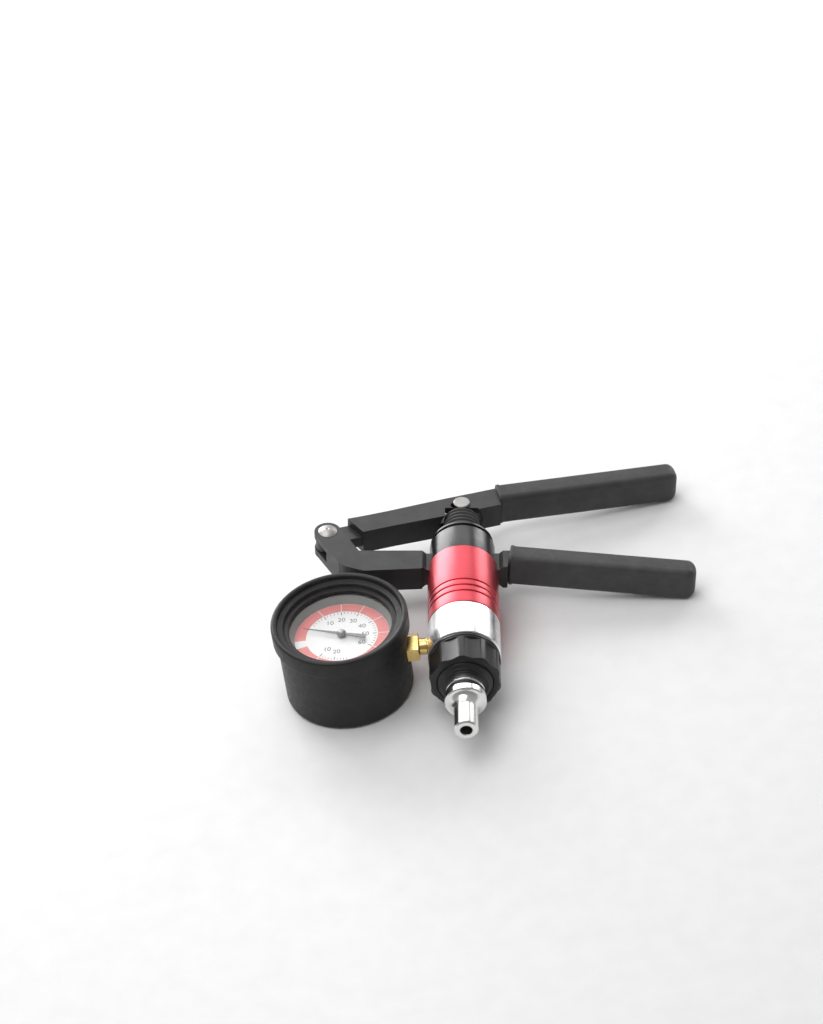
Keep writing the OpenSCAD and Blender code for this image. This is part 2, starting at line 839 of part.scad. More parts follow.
// Red barrel with grip grooves, the piston's bore and a threaded neck for the cap
module barrel() {
    skirt_r = ring_r + seat;
    edge = 0.4;
    grooves = [for (i = [0:groove_count - 1]) y_block_end + groove_start + i * groove_pitch];
    groove_line = [for (y = grooves) each [
        [barrel_r, y - groove_w / 2], [barrel_r - groove_depth, y - groove_w / 4],
        [barrel_r - groove_depth, y + groove_w / 4], [barrel_r, y + groove_w / 2]
    ]];
    color("crimson")
        difference() {
            turned(concat(
                [
                    [bore_r, y_floor], [thread_r, y_floor], [thread_r, y_block_end],
                    [barrel_r - edge, y_block_end], [barrel_r, y_block_end + edge]
                ],
                groove_line,
                [
                    [barrel_r, y_rim - cap_step], [cap_r, y_rim], [skirt_r, y_rim],
                    [skirt_r, y_ring], [collar_neck_r, y_ring], [collar_neck_r, y_neck_end],
                    [seal_bore_r, y_neck_end], [seal_bore_r, y_rod_seal],
                    [rod_way_r, y_rod_seal], [rod_way_r, y_bore_end], [bore_r, y_bore_end]
                ]
            ));
            arm_ways(y_ring, y_rim + 1);
        }
}

// Black cap that clamps the handle's ring and guides the rod
module top_cap() {
    skirt_r = ring_r + seat;
    lip_r = bellows_d / 2 + 1;
    edge = 0.5;
    groove_w = 1.7;
    groove_r = cap_r - groove_w;
    color("dimgray")
        difference() {
            turned([
                [skirt_r, y_rim], [cap_r, y_rim], [cap_r, y_cap_end - edge],
                [cap_r - edge, y_cap_end], [groove_r, y_cap_end],
                [groove_r, y_cap_end + groove_w], [cap_r - edge, y_cap_end + groove_w + edge / 2],
                [cap_r - edge, y_cap_end + cap_lip - 2 * edge],
                [cap_r - 2 * edge, y_cap_end + cap_lip - edge / 2],
                [cap_r - 3 * edge, y_cap_end + cap_lip],
                [lip_r, y_cap_end + cap_lip], [lip_r, y_cap_end],
                [bush_d / 2 + seat, y_cap_end], [bush_d / 2 + seat, y_neck_end],
                [collar_neck_r + seat, y_neck_end], [collar_neck_r + seat, y_ring_end],
                [skirt_r, y_ring_end]
            ]);
            arm_ways(y_rim - 1, y_ring_end);
        }
}

// Flanged brass bush, pressed into the cap
module rod_bush() {
    color("goldenrod")
        turned([
            [rod_r + run, y_bush], [seal_bore_r - seat, y_bush],
            [seal_bore_r - seat, y_neck_end], [bush_d / 2, y_neck_end], [bush_d / 2, y_cap_end],
            [rod_r + run, y_cap_end]
        ]);
}

// Rubber seal on the rod, held in the barrel's neck below the bush
module rod_seal() {
    color("black")
        turned([
            [rod_r + run, y_rod_seal], [seal_bore_r - seat, y_rod_seal],
            [seal_bore_r - seat, y_bush], [rod_r + run, y_bush]
        ]);
}

// Cast handle: a ring clamped under the cap, a forked arm on one side and a tang on the other
module handle_frame() {
    half = arm_t / 2;
    neck = neck_t / 2;
    belly_in = shoulder_in + arm_chamfer;
    // the arm's end lies along the grip's sloping mouth
    arm_out = grip_out + arm_w * abs(tan(grip_slope));
    // the arm's outline seen along the barrel: neck, chamfered shoulder, arm
    shoulder = [
        [(ring_r + collar_neck_r) / 2, -neck], [shoulder_in, -neck],
        [shoulder_in + arm_chamfer, -half], [arm_out, -half],
        [arm_out, half], [shoulder_in + arm_chamfer, half],
        [shoulder_in, neck], [(ring_r + collar_neck_r) / 2, neck]
    ];
    color("dimgray")
        on_handles()
            difference() {
                union() {
                    turned([
                        [collar_neck_r + seat, y_ring], [ring_r, y_ring],
                        [ring_r, y_ring_end], [collar_neck_r + seat, y_ring_end]
                    ]);
                    difference() {
                        for (side = [0, 1])
                            mirror([side, 0, 0])
                                translate([0, y_ring_end, 0])
                                    rotate([90, 0, 0])
                                        linear_extrude(arm_w)
                                            polygon(shoulder);
                        on_grip()
                            translate([-seat, -2 * arm_w, -arm_t])
                                cube([grip_len, 4 * arm_w, 2 * arm_t]);
                    }
                    slab(arm_t) {
                        strip(elbow, [-grip_out + 0.1, y_arm], arm_w);
                        strip(pivot, elbow, fork_w);
                        translate(elbow)
                            circle(d = arm_w);
                        translate(pivot)
                            circle(d = fork_w + gap);
                        polygon([
                            elbow, elbow + polar(arm_w / 2, 240), [elbow.x + arm_w / 2, y_ring - arm_belly],
                            [-belly_in, y_ring - arm_belly / 3], [-belly_in, y_arm]
                        ]);
                    }
                    on_grip()
                        translate([-tang_root, -tang_w / 2, -tang_t / 2])
                            cube([tang_root + tang_len, tang_w, tang_t]);
                }
                // the fork's slot and the rivet's hole
                translate(pivot)
                    rotate(-fork_lean)
                        translate([-fork_w, -fork_w, -tongue_t / 2 - gap])
                            cube([fork_w + fork_depth, 2 * fork_w, tongue_t + 2 * gap]);
                translate([-pivot_out, y_pivot, -arm_t])
                    cylinder(d = rivet_d, h = 2 * arm_t);
            }
}

module fixed_grip() {
    color("darkslategray")
        on_handles()
            on_grip()
                grip(grip_len, grip_w, tang_len);
}

// Cast lever: a thin tongue in the fork, a waisted bar and a slotted clevis over the rod's eye
module lever() {
    mouth = pin_reach + lever_grip_gap + lever_grip_rise * tan(lever_bend);
    mouth_lean = lever_w / 2 * tan(lever_bend);
    clevis = pin_reach - 9;
    step = 15;
    slot_r = pin_d / 2 + gap;
    way_low = pin_reach - pin_shift - eye_w / 2 - 3;
    way_high = pin_reach + eye_w / 2 + 3.5;
    color("dimgray")
        difference() {
            on_lever()
                difference() {
                    union() {
                        slab(tongue_t) {
                            circle(d = lever_w_end);
                            strip([0, 0], [step + 8, 0], lever_w_end - 1.5);
                        }
                        slab(arm_t)
                            polygon([
                                [step - 2.3, lever_w_end / 2 + 0.3], [step + 6, lever_w_end / 2],
                                [pin_reach * 0.45, lever_w_waist / 2], [clevis, lever_w / 2],
                                [mouth - mouth_lean - seat, lever_w / 2],
                                [mouth + mouth_lean - seat, -lever_w / 2],
                                [clevis, -lever_w / 2], [pin_reach * 0.45, -lever_w_waist / 2],
                                [step + 2.3, -lever_w_end / 2]
                            ]);
                        on_lever_grip()
                            translate([-tang_root, -tang_w / 2, -tang_t / 2])
                                cube([tang_root + lever_tang_len, tang_w, tang_t]);
                    }
                    translate([0, 0, -arm_t])
                        cylinder(r = rivet_d / 2 + run, h = 2 * arm_t);
                    // way of the rod's eye between the cheeks
                    translate([way_low, -lever_w, -tongue_t / 2 - gap])
                        cube([way_high - way_low, 2 * lever_w, tongue_t + 2 * gap]);
                    // slots that let the pin shift along the lever as it closes
                    slab(2 * arm_t) {
                        translate([pin_reach + gap, 0])
                            circle(r = slot_r);
                        translate([pin_reach - pin_shift - gap, 0])
                            circle(r = slot_r);
                        strip([pin_reach - pin_shift - gap, 0], [pin_reach + gap, 0], 2 * slot_r);
                    }
                }
            // relief over the end of the bellows
            on_axis(bellows_top_d / 2 + 3 * gap, y_cap_end, y_bellows_end + 4 * gap);
        }
}

module lever_grip() {
    color("darkslategray")
        on_lever()
            on_lever_grip()
                grip(lever_grip_len, lever_grip_w, lever_tang_len);
}

// Bright rivet through the fork and the lever's tongue, with domed heads
module pivot_rivet() {
    head_r = rivet_head_d / 2;
    dome_r = (head_r * head_r + rivet_head_h * rivet_head_h) / (2 * rivet_head_h);
    half = asin(head_r / dome_r);
    dimple = 0.9;
    dome = arc([0, arm_t / 2 + rivet_head_h - dome_r], dome_r, 90 - half, 90 - asin(dimple / dome_r), 8);
    color("silver")
        on_handles()
            translate([-pivot_out, y_pivot, 0]) {
                cylinder(d = rivet_d, h = arm_t, center = true);
                for (face = [0, 1])
                    mirror([0, 0, face])
                        rotate_extrude()
                            polygon(concat(
                                [[0, arm_t / 2], [head_r, arm_t / 2]], dome,
                                [[0, arm_t / 2 + rivet_head_h - 0.5]]
                            ));
            }
}

// Steel rod: a threaded end through the piston, a round shaft and a flat eye for the pin
module piston_rod() {
    flat_w = 2 * sqrt(rod_r * rod_r - tongue_t * tongue_t / 4) - 2 * seat;
    color("lightgray")
        difference() {
            union() {
                on_axis(stud_d / 2, y_piston - stud_nut_t - 0.5 + spring_pocket, y_piston_end);
                on_axis(rod_r, y_piston_end, y_bellows_end);
                on_handles()
                    slab(tongue_t) {
                        translate([0, y_pin])
                            circle(d = eye_w);
                        strip([0, y_bellows_end - 3], [0, y_pin], flat_w);
                    }
            }
            on_handles()
                translate([0, y_pin, -arm_t])
                    cylinder(r = pin_d / 2 + seat, h = 2 * arm_t);
        }
}

// Headed pin through the lever's slots and the rod's eye
module rod_pin() {
    edge = 0.4;
    low = arm_t / 2 + gap;
    high = low + pin_head_h;
    head_r = pin_head_d / 2;
    color("silver")
        on_handles()
            translate([0, y_pin, 0]) {
                cylinder(d = pin_d, h = arm_t + 3 * gap, center = true);
                for (face = [0, 1])
                    mirror([0, 0, face])
                        rotate_extrude()
                            polygon([
                                [0, low], [head_r, low], [head_r, high - edge], [head_r - edge, high],
                                [0, high]
                            ]);
            }
}

// Piston with a groove for its seal, and a pocket for the spring and the nut below
module piston() {
    piston_r = bore_r - gap;
    seal_in = bore_r - piston_seal_t;
    pocket_r = spring_r + spring_wire / 2 + gap;
    color("gray")
        turned([
            [stud_d / 2 + seat, y_piston + spring_pocket], [pocket_r, y_piston + spring_pocket],
            [pocket_r, y_piston], [piston_r, y_piston], [piston_r, y_seal], [seal_in, y_seal],
            [seal_in, y_seal_end], [piston_r, y_seal_end],
            [piston_r, y_piston_end], [stud_d / 2 + seat, y_piston_end]
        ]);
}

module piston_seal() {
    low = y_seal + seat;
    high = y_seal_end - seat;
    seal_in = bore_r - piston_seal_t + seat;
    edge = 0.6;
    color("black")
        turned([
            [seal_in, low], [bore_r - edge, low], [bore_r - run, low + edge],
            [bore_r - run, high - edge], [bore_r - edge, high], [seal_in, high]
        ]);
}

// Thin nut that clamps the piston, inside the spring
module piston_nut() {
    nut_flats = 13;
    top = y_piston + spring_pocket;
    color("silver")
        difference() {
            translate([0, top - stud_nut_t, 0])
                rotate([-90, 0, 0])
                    cylinder(d = nut_flats / cos(30), h = stud_nut_t, $fn = 6);
            on_axis(stud_d / 2 + seat, top - stud_nut_t - 1, top + 1);
        }
}

// The middle of the return spring's wire after a number of steps
function spring_point(i) =
    let (a = 360 * i / spring_steps)
    [spring_r * cos(a), spring_low + (spring_high - spring_low) * i / spring_rings, spring_r * sin(a)];

// The ring of points round the wire there
function spring_ring(i) =
    let (
        a = 360 * i / spring_steps,
        turn_len = 2 * PI * spring_r,
        out = [cos(a), 0, sin(a)],
        along = [-turn_len * sin(a), (spring_high - spring_low) / spring_turns, turn_len * cos(a)],
        up = cross(out, along) / norm(along)
    )
    [for (k = [0:spring_sides - 1])
        let (side = polar(spring_wire / 2, 360 * k / spring_sides))
        spring_point(i) + side.x * out + side.y * up];

// Return spring between the gauge block and the piston, as one swept wire
module return_spring() {
    points = [for (i = [0:spring_rings]) each spring_ring(i)];
    last = spring_rings * spring_sides;
    sides = [for (i = [0:spring_rings - 1], k = [0:spring_sides - 1])
        let (
            next = (k + 1) % spring_sides,
            here = i * spring_sides,
            there = here + spring_sides
        )
        each [[here + k, here + next, there + k], [here + next, there + next, there + k]]];
    ends = [for (k = [1:spring_sides - 2]) each [[0, k + 1, k], [last, last + k, last + k + 1]]];
    turn_gaps = [for (i = [0:spring_rings - spring_steps])
        norm(spring_point(i + spring_steps) - spring_point(i)) - spring_wire];
    echo(spring_least_gap = min(turn_gaps));
    color("silver")
        polyhedron(points = points, faces = concat(sides, ends));
}

// Rubber bellows over the rod: a foot under the cap's lip, folds that narrow upwards, a neck on the rod
module rod_bellows() {
    foot = 1.4;
    top_t = 1.5;
    low = y_bellows + foot;
    high = y_bellows_end - top_t;
    count = 2 * bellows_folds + 1;
    mean = function(i) bellows_d / 2 + (bellows_top_d - bellows_d) / 2 * i / count;
    crest = function(i) mean(i) - (i % 2 == 0 ? fold_depth : 0);
    outer = [for (i = [0:count]) [crest(i), low + (high - low) * i / count]];
    inner = [for (i = [count:-1:0]) [crest(i) - bellows_wall, low + (high - low) * i / count]];
    color("dimgray")
        turned(concat(
            [[rod_r + 3, y_bellows], [bellows_d / 2 + 1 - seat, y_bellows], [bellows_d / 2 + 1 - seat, low]],
            outer,
            [
                [bellows_top_d / 2 - foot, y_bellows_end - top_t / 3], [rod_r + foot, y_bellows_end],
                [rod_r + seat, y_bellows_end], [rod_r + seat, high - top_t / 3]
            ],
            inner,
            [[rod_r + 3, low]]
        ));
}

// Brass fitting between the gauge block and the gauge's stem
module port_nipple() {
    fitting_in = -barrel_r + fitting_depth;
    collar_high = -barrel_r - gap;
    collar_low = hex_high + gap;
    color("goldenrod")
        difference() {
            union() {
                on_port(fitting_d / 2, fitting_out, fitting_in);
                on_port(fitting_collar_d / 2, collar_low, collar_high);
            }
            on_port(stem_bore / 4, fitting_out - 1, fitting_in + 1);
        }
}

// Outline of the bent tube, solid or as its bore
module tube_sweep(w, h, sweep) {
    rotate(tube_tip_angle)
        rotate_extrude(angle = sweep)
            translate([tube_r - w / 2, -h / 2])
                square([w, h]);
}

// Brass socket: the gauge's hexagon outside the boot, its stem, and the block that carries the works
module gauge_socket() {
    color("goldenrod")
        difference() {
            union() {
                hex_on_port(stem_flats, hex_low, hex_high);
                on_port(gauge_stem_d / 2, gauge_x + socket_out - 1, hex_low);
                on_gauge()
                    translate([socket_in, -socket_w / 2, -socket_w / 2])
                        cube([socket_out - socket_in, socket_w, socket_w]);
            }
            on_port(fitting_d / 2 + seat, hex_low + 1, hex_high + 1);
            on_port(stem_bore / 4, gauge_x + tube_r - 2, hex_low + 2);
            on_gauge()
                tube_sweep(tube_w, tube_h, tube_turn);
            on_gauge()
                movement_screw_shape();
        }
}

// Flat tube that the pressure bends, with a tip that pulls the link
module bourdon_tube() {
    color("darkgoldenrod")
        on_gauge() {
            difference() {
                tube_sweep(tube_w, tube_h, tube_turn);
                rotate(3)
                    tube_sweep(tube_w - 2 * tube_wall, tube_h - 2 * tube_wall, tube_turn);
            }
            rotate(tube_tip_angle)
                translate([tube_r - tip_box / 2, -tip_box, -tube_h / 2])
                    cube([tip_box, tip_box, tube_h]);
            translate([tip_pin.x, tip_pin.y, 0])
                cylinder(r = link_pin_r, h = link_low + link_t);
        }
}

// Flat link from the tube's tip to the sector's tail
module tube_link() {
    eye_r = 1.5;
    slot_r = link_pin_r + 0.15;
    slot_in = tail_pin - [0.1, 0];
    slot_out = tail_pin + [0.6, 0];
    color("goldenrod")
        on_gauge()
            translate([0, 0, link_low])
                linear_extrude(link_t)
                    difference() {
                        union() {
                            strip(tail_pin, tip_pin, 2);
                            translate(tail_pin)
                                circle(r = eye_r + 0.5);
                            translate(slot_out)
                                circle(r = eye_r + 0.5);
                            translate(tip_pin)
                                circle(r = eye_r);
                        }
                        translate(tip_pin)
                            circle(r = link_pin_r + run);
                        for (slot_end = [slot_in, slot_out])
                            translate(slot_end)
                                circle(r = slot_r);
                        strip(slot_in, slot_out, 2 * slot_r);
                    }
}

// Toothed sector on its own shaft, with a tail for the link
module sector_gear() {
    ratio = pinion_teeth / sector_teeth;
    pitch = 360 / sector_teeth;
    first = -ceil((pressure_sweep * ratio + 2.5 * pitch) / pitch);
    last = ceil((suction_sweep * ratio + 2.5 * pitch) / pitch);
    root_r = pitch_sector - 1.2 * tooth_module;
    window_r = root_r - 2;
    window_from = first * pitch + 9;
    window_to = last * pitch - 9;
    teeth = [for (i = [first:last]) each tooth(sector_teeth, i * pitch)];
    color("goldenrod")
        on_gauge()
            translate([sector_x, 0, 0]) {
                translate([0, 0, teeth_low])
                    linear_extrude(teeth_t) {
                        difference() {
                            polygon(concat([[0, 0]], teeth));
                            intersection() {
                                difference() {
                                    circle(r = window_r);
                                    circle(r = window_r / 2);
                                }
                                polygon([
                                    [0, 0], polar(2 * window_r, window_from), polar(2 * window_r, window_to)
                                ]);
                            }
                        }
                        circle(d = 2.6 * arbor_d);
                        strip([0, 0], [-tail_arm, 0], 3 * link_pin_r);
                        translate([-tail_arm, 0])
                            circle(r = 1.7 * link_pin_r);
                    }
                translate([0, 0, plate_low])
                    cylinder(d = arbor_d, h = plate_high + plate_t - plate_low - 0.1);
                translate([-tail_arm, 0, link_low])
                    cylinder(r = link_pin_r, h = teeth_low - link_low + 0.1);
            }
}

// Pinion and the shaft that carries the pointer
module pinion_arbor() {
    pitch = 360 / pinion_teeth;
    teeth = [for (i = [0:pinion_teeth - 1]) each tooth(pinion_teeth, 180 + (i + 0.5) * pitch)];
    color("silver")
        on_gauge() {
            translate([0, 0, teeth_low - 0.2])
                linear_extrude(teeth_t + 0.4)
                    polygon(teeth);
            translate([0, 0, plate_low - 0.4])
                cylinder(d = arbor_d, h = pointer_top - plate_low + 0.4 - 1);
        }
}

// Outline shared by the two plates of the works
module plate_outline() {
    difference() {
        union() {
            strip([sector_x, 0], [plate_end, 0], plate_w);
            translate([sector_x, 0])
                circle(d = 0.55 * plate_w);
            strip([post_out - post_d, 0], [plate_end, 0], plate_w + post_d);
        }
        circle(d = arbor_d + 2 * run);
        translate([sector_x, 0])
            circle(d = arbor_d + 2 * run);
    }
}

// The two screws that hold the works to the socket
module movement_screw_shape() {
    for (side = [-1, 1])
        translate([socket_in + screw_head_d, side * screw_head_d, 0]) {
            translate([0, 0, plate_low - screw_head_d])
                cylinder(d = screw_d, h = screw_head_d + plate_t);
            translate([0, 0, plate_low + plate_t])
                cylinder(d = screw_head_d, h = screw_head_d / 3);
        }
}

module movement_screws() {
    color("gray")
        on_gauge()
            movement_screw_shape();
}

// Lower plate, with the posts that carry the upper one
module movement_back_plate() {
    color("goldenrod")
        on_gauge()
            difference() {
                union() {
                    translate([0, 0, plate_low])
                        linear_extrude(plate_t)
                            plate_outline();
                    for (side = [-1, 1])
                        translate([post_out, side * post_side, plate_low])
                            cylinder(d = post_d, h = plate_high - plate_low);
                }
                movement_screw_shape();
            }
}

module movement_front_plate() {
    color("goldenrod")
        on_gauge()
            translate([0, 0, plate_high])
                linear_extrude(plate_t)
                    plate_outline();
}

// Pressed steel case with a hole for the stem
module gauge_case() {
    color("dimgray")
        difference() {
            on_gauge()
                rotate_extrude()
                    polygon([
                        [0, case_bottom], [case_r - 1, case_bottom], [case_r, case_bottom + 1],
                        [case_r, case_top], [case_in_r, case_top],
                        [case_in_r, case_bottom + case_wall], [0, case_bottom + case_wall]
                    ]);
            on_port(gauge_stem_d / 2 + seat, gauge_x + case_in_r - 4, -barrel_r);
        }
}

// Rubber boot with a rounded rim that steps down to a lip over the lens, and a hole for the stem
module gauge_boot() {
    mouth_r = case_r - boot_lip_w;
    bead = 1.4;
    lip_h = 1.5;
    inner_r = case_r + seat;
    lip_low = case_top + seat;
    ledge = (rim_top + lip_low + lip_h) / 2;
    ledge_out = boot_r - 2.2 * bead;
    ledge_in = (ledge_out + mouth_r) / 2;
    foot = 1.6;
    color("dimgray")
        difference() {
            on_gauge()
                rotate_extrude()
                    polygon(concat(
                        [
                            [0, -boot_drop], [boot_body_r - foot, -boot_drop],
                            [boot_body_r, foot - boot_drop],
                            [boot_body_r, rim_top - boot_rim_h - (boot_r - boot_body_r)],
                            [boot_r, rim_top - boot_rim_h]
                        ],
                        arc([boot_r - bead, rim_top - bead], bead, 0, 180, 14),
                        [
                            [ledge_out, ledge], [ledge_in, ledge - lip_h / 4],
                            [ledge_in - lip_h / 4, lip_low + lip_h], [mouth_r + lip_h / 2, lip_low + lip_h],
                            [mouth_r, lip_low + lip_h / 2], [mouth_r, lip_low], [inner_r, lip_low],
                            [inner_r, case_bottom - seat], [0, case_bottom - seat]
                        ]
                    ));
            on_port(stem_flats / 2 / cos(30) + gap, gauge_x + case_in_r - 4, 0);
        }
}

module dial_plate() {
    color("white")
        on_gauge()
            difference() {
                translate([0, 0, dial_top - dial_t])
                    cylinder(r = dial_r, h = dial_t);
                translate([0, 0, dial_top - 2 * dial_t])
                    cylinder(d = arbor_d + 1, h = 3 * dial_t);
            }
}

// Grey ring that slopes up from the dial's edge to the lens
module dial_ring() {
    color("gray")
        on_gauge()
            rotate_extrude()
                polygon([
                    [show_r, dial_top], [dial_r, dial_top], [dial_r, dial_top + dial_ring_h],
                    [show_r + dial_ring_flare, dial_top + dial_ring_h]
                ]);
}

module gauge_lens() {
    color("lightcyan", 0.3)
        on_gauge()
            translate([0, 0, dial_top + dial_ring_h])
                cylinder(r = dial_r, h = lens_t);
}

// Pointer: a hub with a cap, a long tapered tip and a broad tail
module pointer() {
    hub_r = pointer_hub_d / 2;
    color("dimgray")
        on_gauge()
            difference() {
                union() {
                    translate([0, 0, pointer_low])
                        rotate(pointer_rest)
                            linear_extrude(pointer_t)
                                polygon([
                                    [pointer_tip, 0], [0, 0.75], [-hub_r, 0.7], [-pointer_tail + 1, 1.2],
                                    [-pointer_tail, 0.8], [-pointer_tail, -0.8], [-pointer_tail + 1, -1.2],
                                    [-hub_r, -0.7], [0, -0.75]
                                ]);
                    rotate_extrude()
                        polygon([
                            [0, pointer_low - 0.5], [hub_r, pointer_low - 0.5], [hub_r, pointer_low + 0.8],
                            [hub_r - 0.8, pointer_top], [0, pointer_top]
                        ]);
                }
                translate([0, 0, dial_top])
                    cylinder(d = arbor_d, h = pointer_top - 1 - dial_top);
            }
}

hose_nozzle();
nozzle_seal_ring();
nose_nut();
selector_ring();
selector_stop_pin();
selector_seal_rings();
gauge_block();
block_seal_ring();
valve_plate();
inlet_valve();
outlet_valve();
barrel();
top_cap();
rod_bush();
rod_seal();
handle_frame();
fixed_grip();
lever();
lever_grip();
pivot_rivet();
piston_rod();
rod_pin();
piston();
piston_seal();
piston_nut();
return_spring();
rod_bellows();
port_nipple();
gauge_socket();
bourdon_tube();
tube_link();
sector_gear();
pinion_arbor();
movement_back_plate();
movement_front_plate();
movement_screws();
gauge_case();
gauge_boot();
dial_plate();
dial_ring();
gauge_lens();
pointer();
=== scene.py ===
"""Vacuum hand pump with a dial gauge: finishes, turned and rubber pieces, dial print, camera and light."""
import json
import math

import bmesh
import bpy
from mathutils import Matrix, Vector


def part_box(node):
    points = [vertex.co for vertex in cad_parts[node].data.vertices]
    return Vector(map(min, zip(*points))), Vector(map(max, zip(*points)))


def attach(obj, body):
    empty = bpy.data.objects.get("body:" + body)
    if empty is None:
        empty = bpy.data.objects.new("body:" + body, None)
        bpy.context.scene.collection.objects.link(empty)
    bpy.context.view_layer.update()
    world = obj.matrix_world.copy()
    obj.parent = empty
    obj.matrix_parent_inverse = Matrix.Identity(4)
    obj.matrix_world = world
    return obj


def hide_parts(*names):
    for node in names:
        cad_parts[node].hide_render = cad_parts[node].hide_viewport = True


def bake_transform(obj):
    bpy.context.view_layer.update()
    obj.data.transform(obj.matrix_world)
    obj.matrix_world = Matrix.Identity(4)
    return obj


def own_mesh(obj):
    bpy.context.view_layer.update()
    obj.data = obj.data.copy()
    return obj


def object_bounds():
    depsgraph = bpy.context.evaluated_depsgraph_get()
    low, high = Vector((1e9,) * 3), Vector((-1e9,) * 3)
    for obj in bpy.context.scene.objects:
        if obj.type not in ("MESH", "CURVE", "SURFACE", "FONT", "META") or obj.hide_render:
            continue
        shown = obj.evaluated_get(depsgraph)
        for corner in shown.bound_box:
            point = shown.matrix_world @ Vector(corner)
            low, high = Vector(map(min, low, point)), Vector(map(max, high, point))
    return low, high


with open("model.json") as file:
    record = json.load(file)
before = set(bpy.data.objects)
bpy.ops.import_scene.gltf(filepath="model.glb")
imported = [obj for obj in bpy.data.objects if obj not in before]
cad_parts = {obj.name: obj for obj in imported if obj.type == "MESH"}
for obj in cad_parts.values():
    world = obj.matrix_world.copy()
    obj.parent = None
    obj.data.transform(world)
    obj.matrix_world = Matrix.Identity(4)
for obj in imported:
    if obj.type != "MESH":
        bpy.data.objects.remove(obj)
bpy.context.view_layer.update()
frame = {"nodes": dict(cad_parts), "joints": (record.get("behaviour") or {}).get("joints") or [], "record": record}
NODES = frame["nodes"]
JOINTS = {joint["name"]: joint for joint in frame["joints"]}
MM = 0.001
FULL_TURN = 2 * math.pi


def centre_of(node):
    """The middle of a solid's box."""
    low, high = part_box(node)
    return (low + high) / 2


# The handles lie in a plane that is turned about the barrel: the lever's joint axis says by how much.
LEVER_AXIS = JOINTS["lever_pivot"]["axis"]
CLOCK = math.atan2(-LEVER_AXIS[0], -LEVER_AXIS[2])
HANDLES = Matrix.Rotation(CLOCK, 4, "Y")

# A lathe's upright axis laid along the barrel, and the middle of the dial's face.
ALONG_BARREL = Matrix.Rotation(-math.pi / 2, 4, "X")
DIAL_AT = Vector((*centre_of("dial_plate").xy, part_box("dial_plate")[1].z))

# The photograph's camera, in the handles' frame.
IMAGE_LONG_PX = 1024
FOCAL_PX = 2672.45
SENSOR_MM = 36.0
CAMERA_AT = Vector((-26.1, -916.5, 889.8)) * MM
CAMERA_DIP = math.radians(39.5)
CLIP_START, CLIP_END = 0.01, 50.0

# The range that most of a noise texture's values lie in, and how fine the textures are.
NOISE_LOW, NOISE_HIGH = 0.3, 0.7
NOISE_DETAIL = 3.0
RING_DETAIL = 2.0
PEBBLE_SMOOTHNESS = 0.6


class Finish:
    """One procedural material: a Principled shader whose textures lie in the part's own frame.

    Further constants are set on the shader's sockets, whose names have underscores here for spaces.
    """

    def __init__(self, name, metallic=0.0, **constants):
        self.name = name
        self.mat = bpy.data.materials.new(name)
        self.mat.use_nodes = True
        self.tree = self.mat.node_tree
        self.shader = self.tree.nodes["Principled BSDF"]
        self.shader.inputs["Metallic"].default_value = metallic
        for socket, value in constants.items():
            self.shader.inputs[socket.replace("_", " ")].default_value = value
        self.at = self.add("TexCoord").outputs["Object"]
        self.normal = None

    def add(self, kind, inputs=None, **settings):
        """A node with its settings made and its inputs set or linked."""
        made = self.tree.nodes.new("ShaderNode" + kind)
        for key, value in settings.items():
            setattr(made, key, value)
        for key, value in (inputs or {}).items():
            if isinstance(value, bpy.types.NodeSocket):
                self.tree.links.new(value, made.inputs[key])
            else:
                made.inputs[key].default_value = value
        return made

    def math(self, operation, a, b=0.0):
        """The result of an operation on one or two values."""
        return self.add("Math", {0: a, 1: b}, operation=operation).outputs[0]

    def noise(self, size):
        """Noise whose grains are about size millimetres."""
        inputs = {"Vector": self.at, "Scale": 1 / (size * MM), "Detail": NOISE_DETAIL}
        return self.add("TexNoise", inputs).outputs["Fac"]

    def pebbles(self, size):
        """Rounded bumps about size millimetres apart."""
        inputs = {"Vector": self.at, "Scale": 1 / (size * MM), "Smoothness": PEBBLE_SMOOTHNESS}
        return self.add("TexVoronoi", inputs, feature="SMOOTH_F1").outputs["Distance"]

    def turning_lines(self, size):
        """Fine rings about the barrel's axis, on sides and on end faces, as a lathe leaves them."""
        xyz = self.add("SeparateXYZ", {0: self.at}).outputs
        across, up = (self.math("MULTIPLY", xyz[axis], xyz[axis]) for axis in "XZ")
        radius = self.math("SQRT", self.math("ADD", across, up))
        along = self.math("ADD", xyz["Y"], radius)
        inputs = {"W": along, "Scale": 1 / (size * MM), "Detail": RING_DETAIL}
        return self.add("TexNoise", inputs, noise_dimensions="1D").outputs["Fac"]

    def colour(self, low, high, fac):
        """Base colour that runs from low to high as the texture does."""
        ramp = self.add("ValToRGB", {"Fac": fac})
        for position, element, rgb in zip((NOISE_LOW, NOISE_HIGH), ramp.color_ramp.elements, (low, high)):
            element.position = position
            element.color = (*rgb, 1.0)
        self.tree.links.new(ramp.outputs["Color"], self.shader.inputs["Base Color"])

    def rough(self, low, high, fac):
        """Roughness that runs from low to high as the texture does."""
        inputs = {
            "Value": fac, "From Min": NOISE_LOW, "From Max": NOISE_HIGH, "To Min": low, "To Max": high}
        spread = self.add("MapRange", inputs)
        self.tree.links.new(spread.outputs[0], self.shader.inputs["Roughness"])

    def bump(self, height, depth):
        """Relief depth millimetres deep, laid over what is there already."""
        inputs = {"Height": height, "Distance": depth * MM, "Strength": 1.0}
        if self.normal is not None:
            inputs["Normal"] = self.normal
        self.normal = self.add("Bump", inputs).outputs["Normal"]
        self.tree.links.new(self.normal, self.shader.inputs["Normal"])


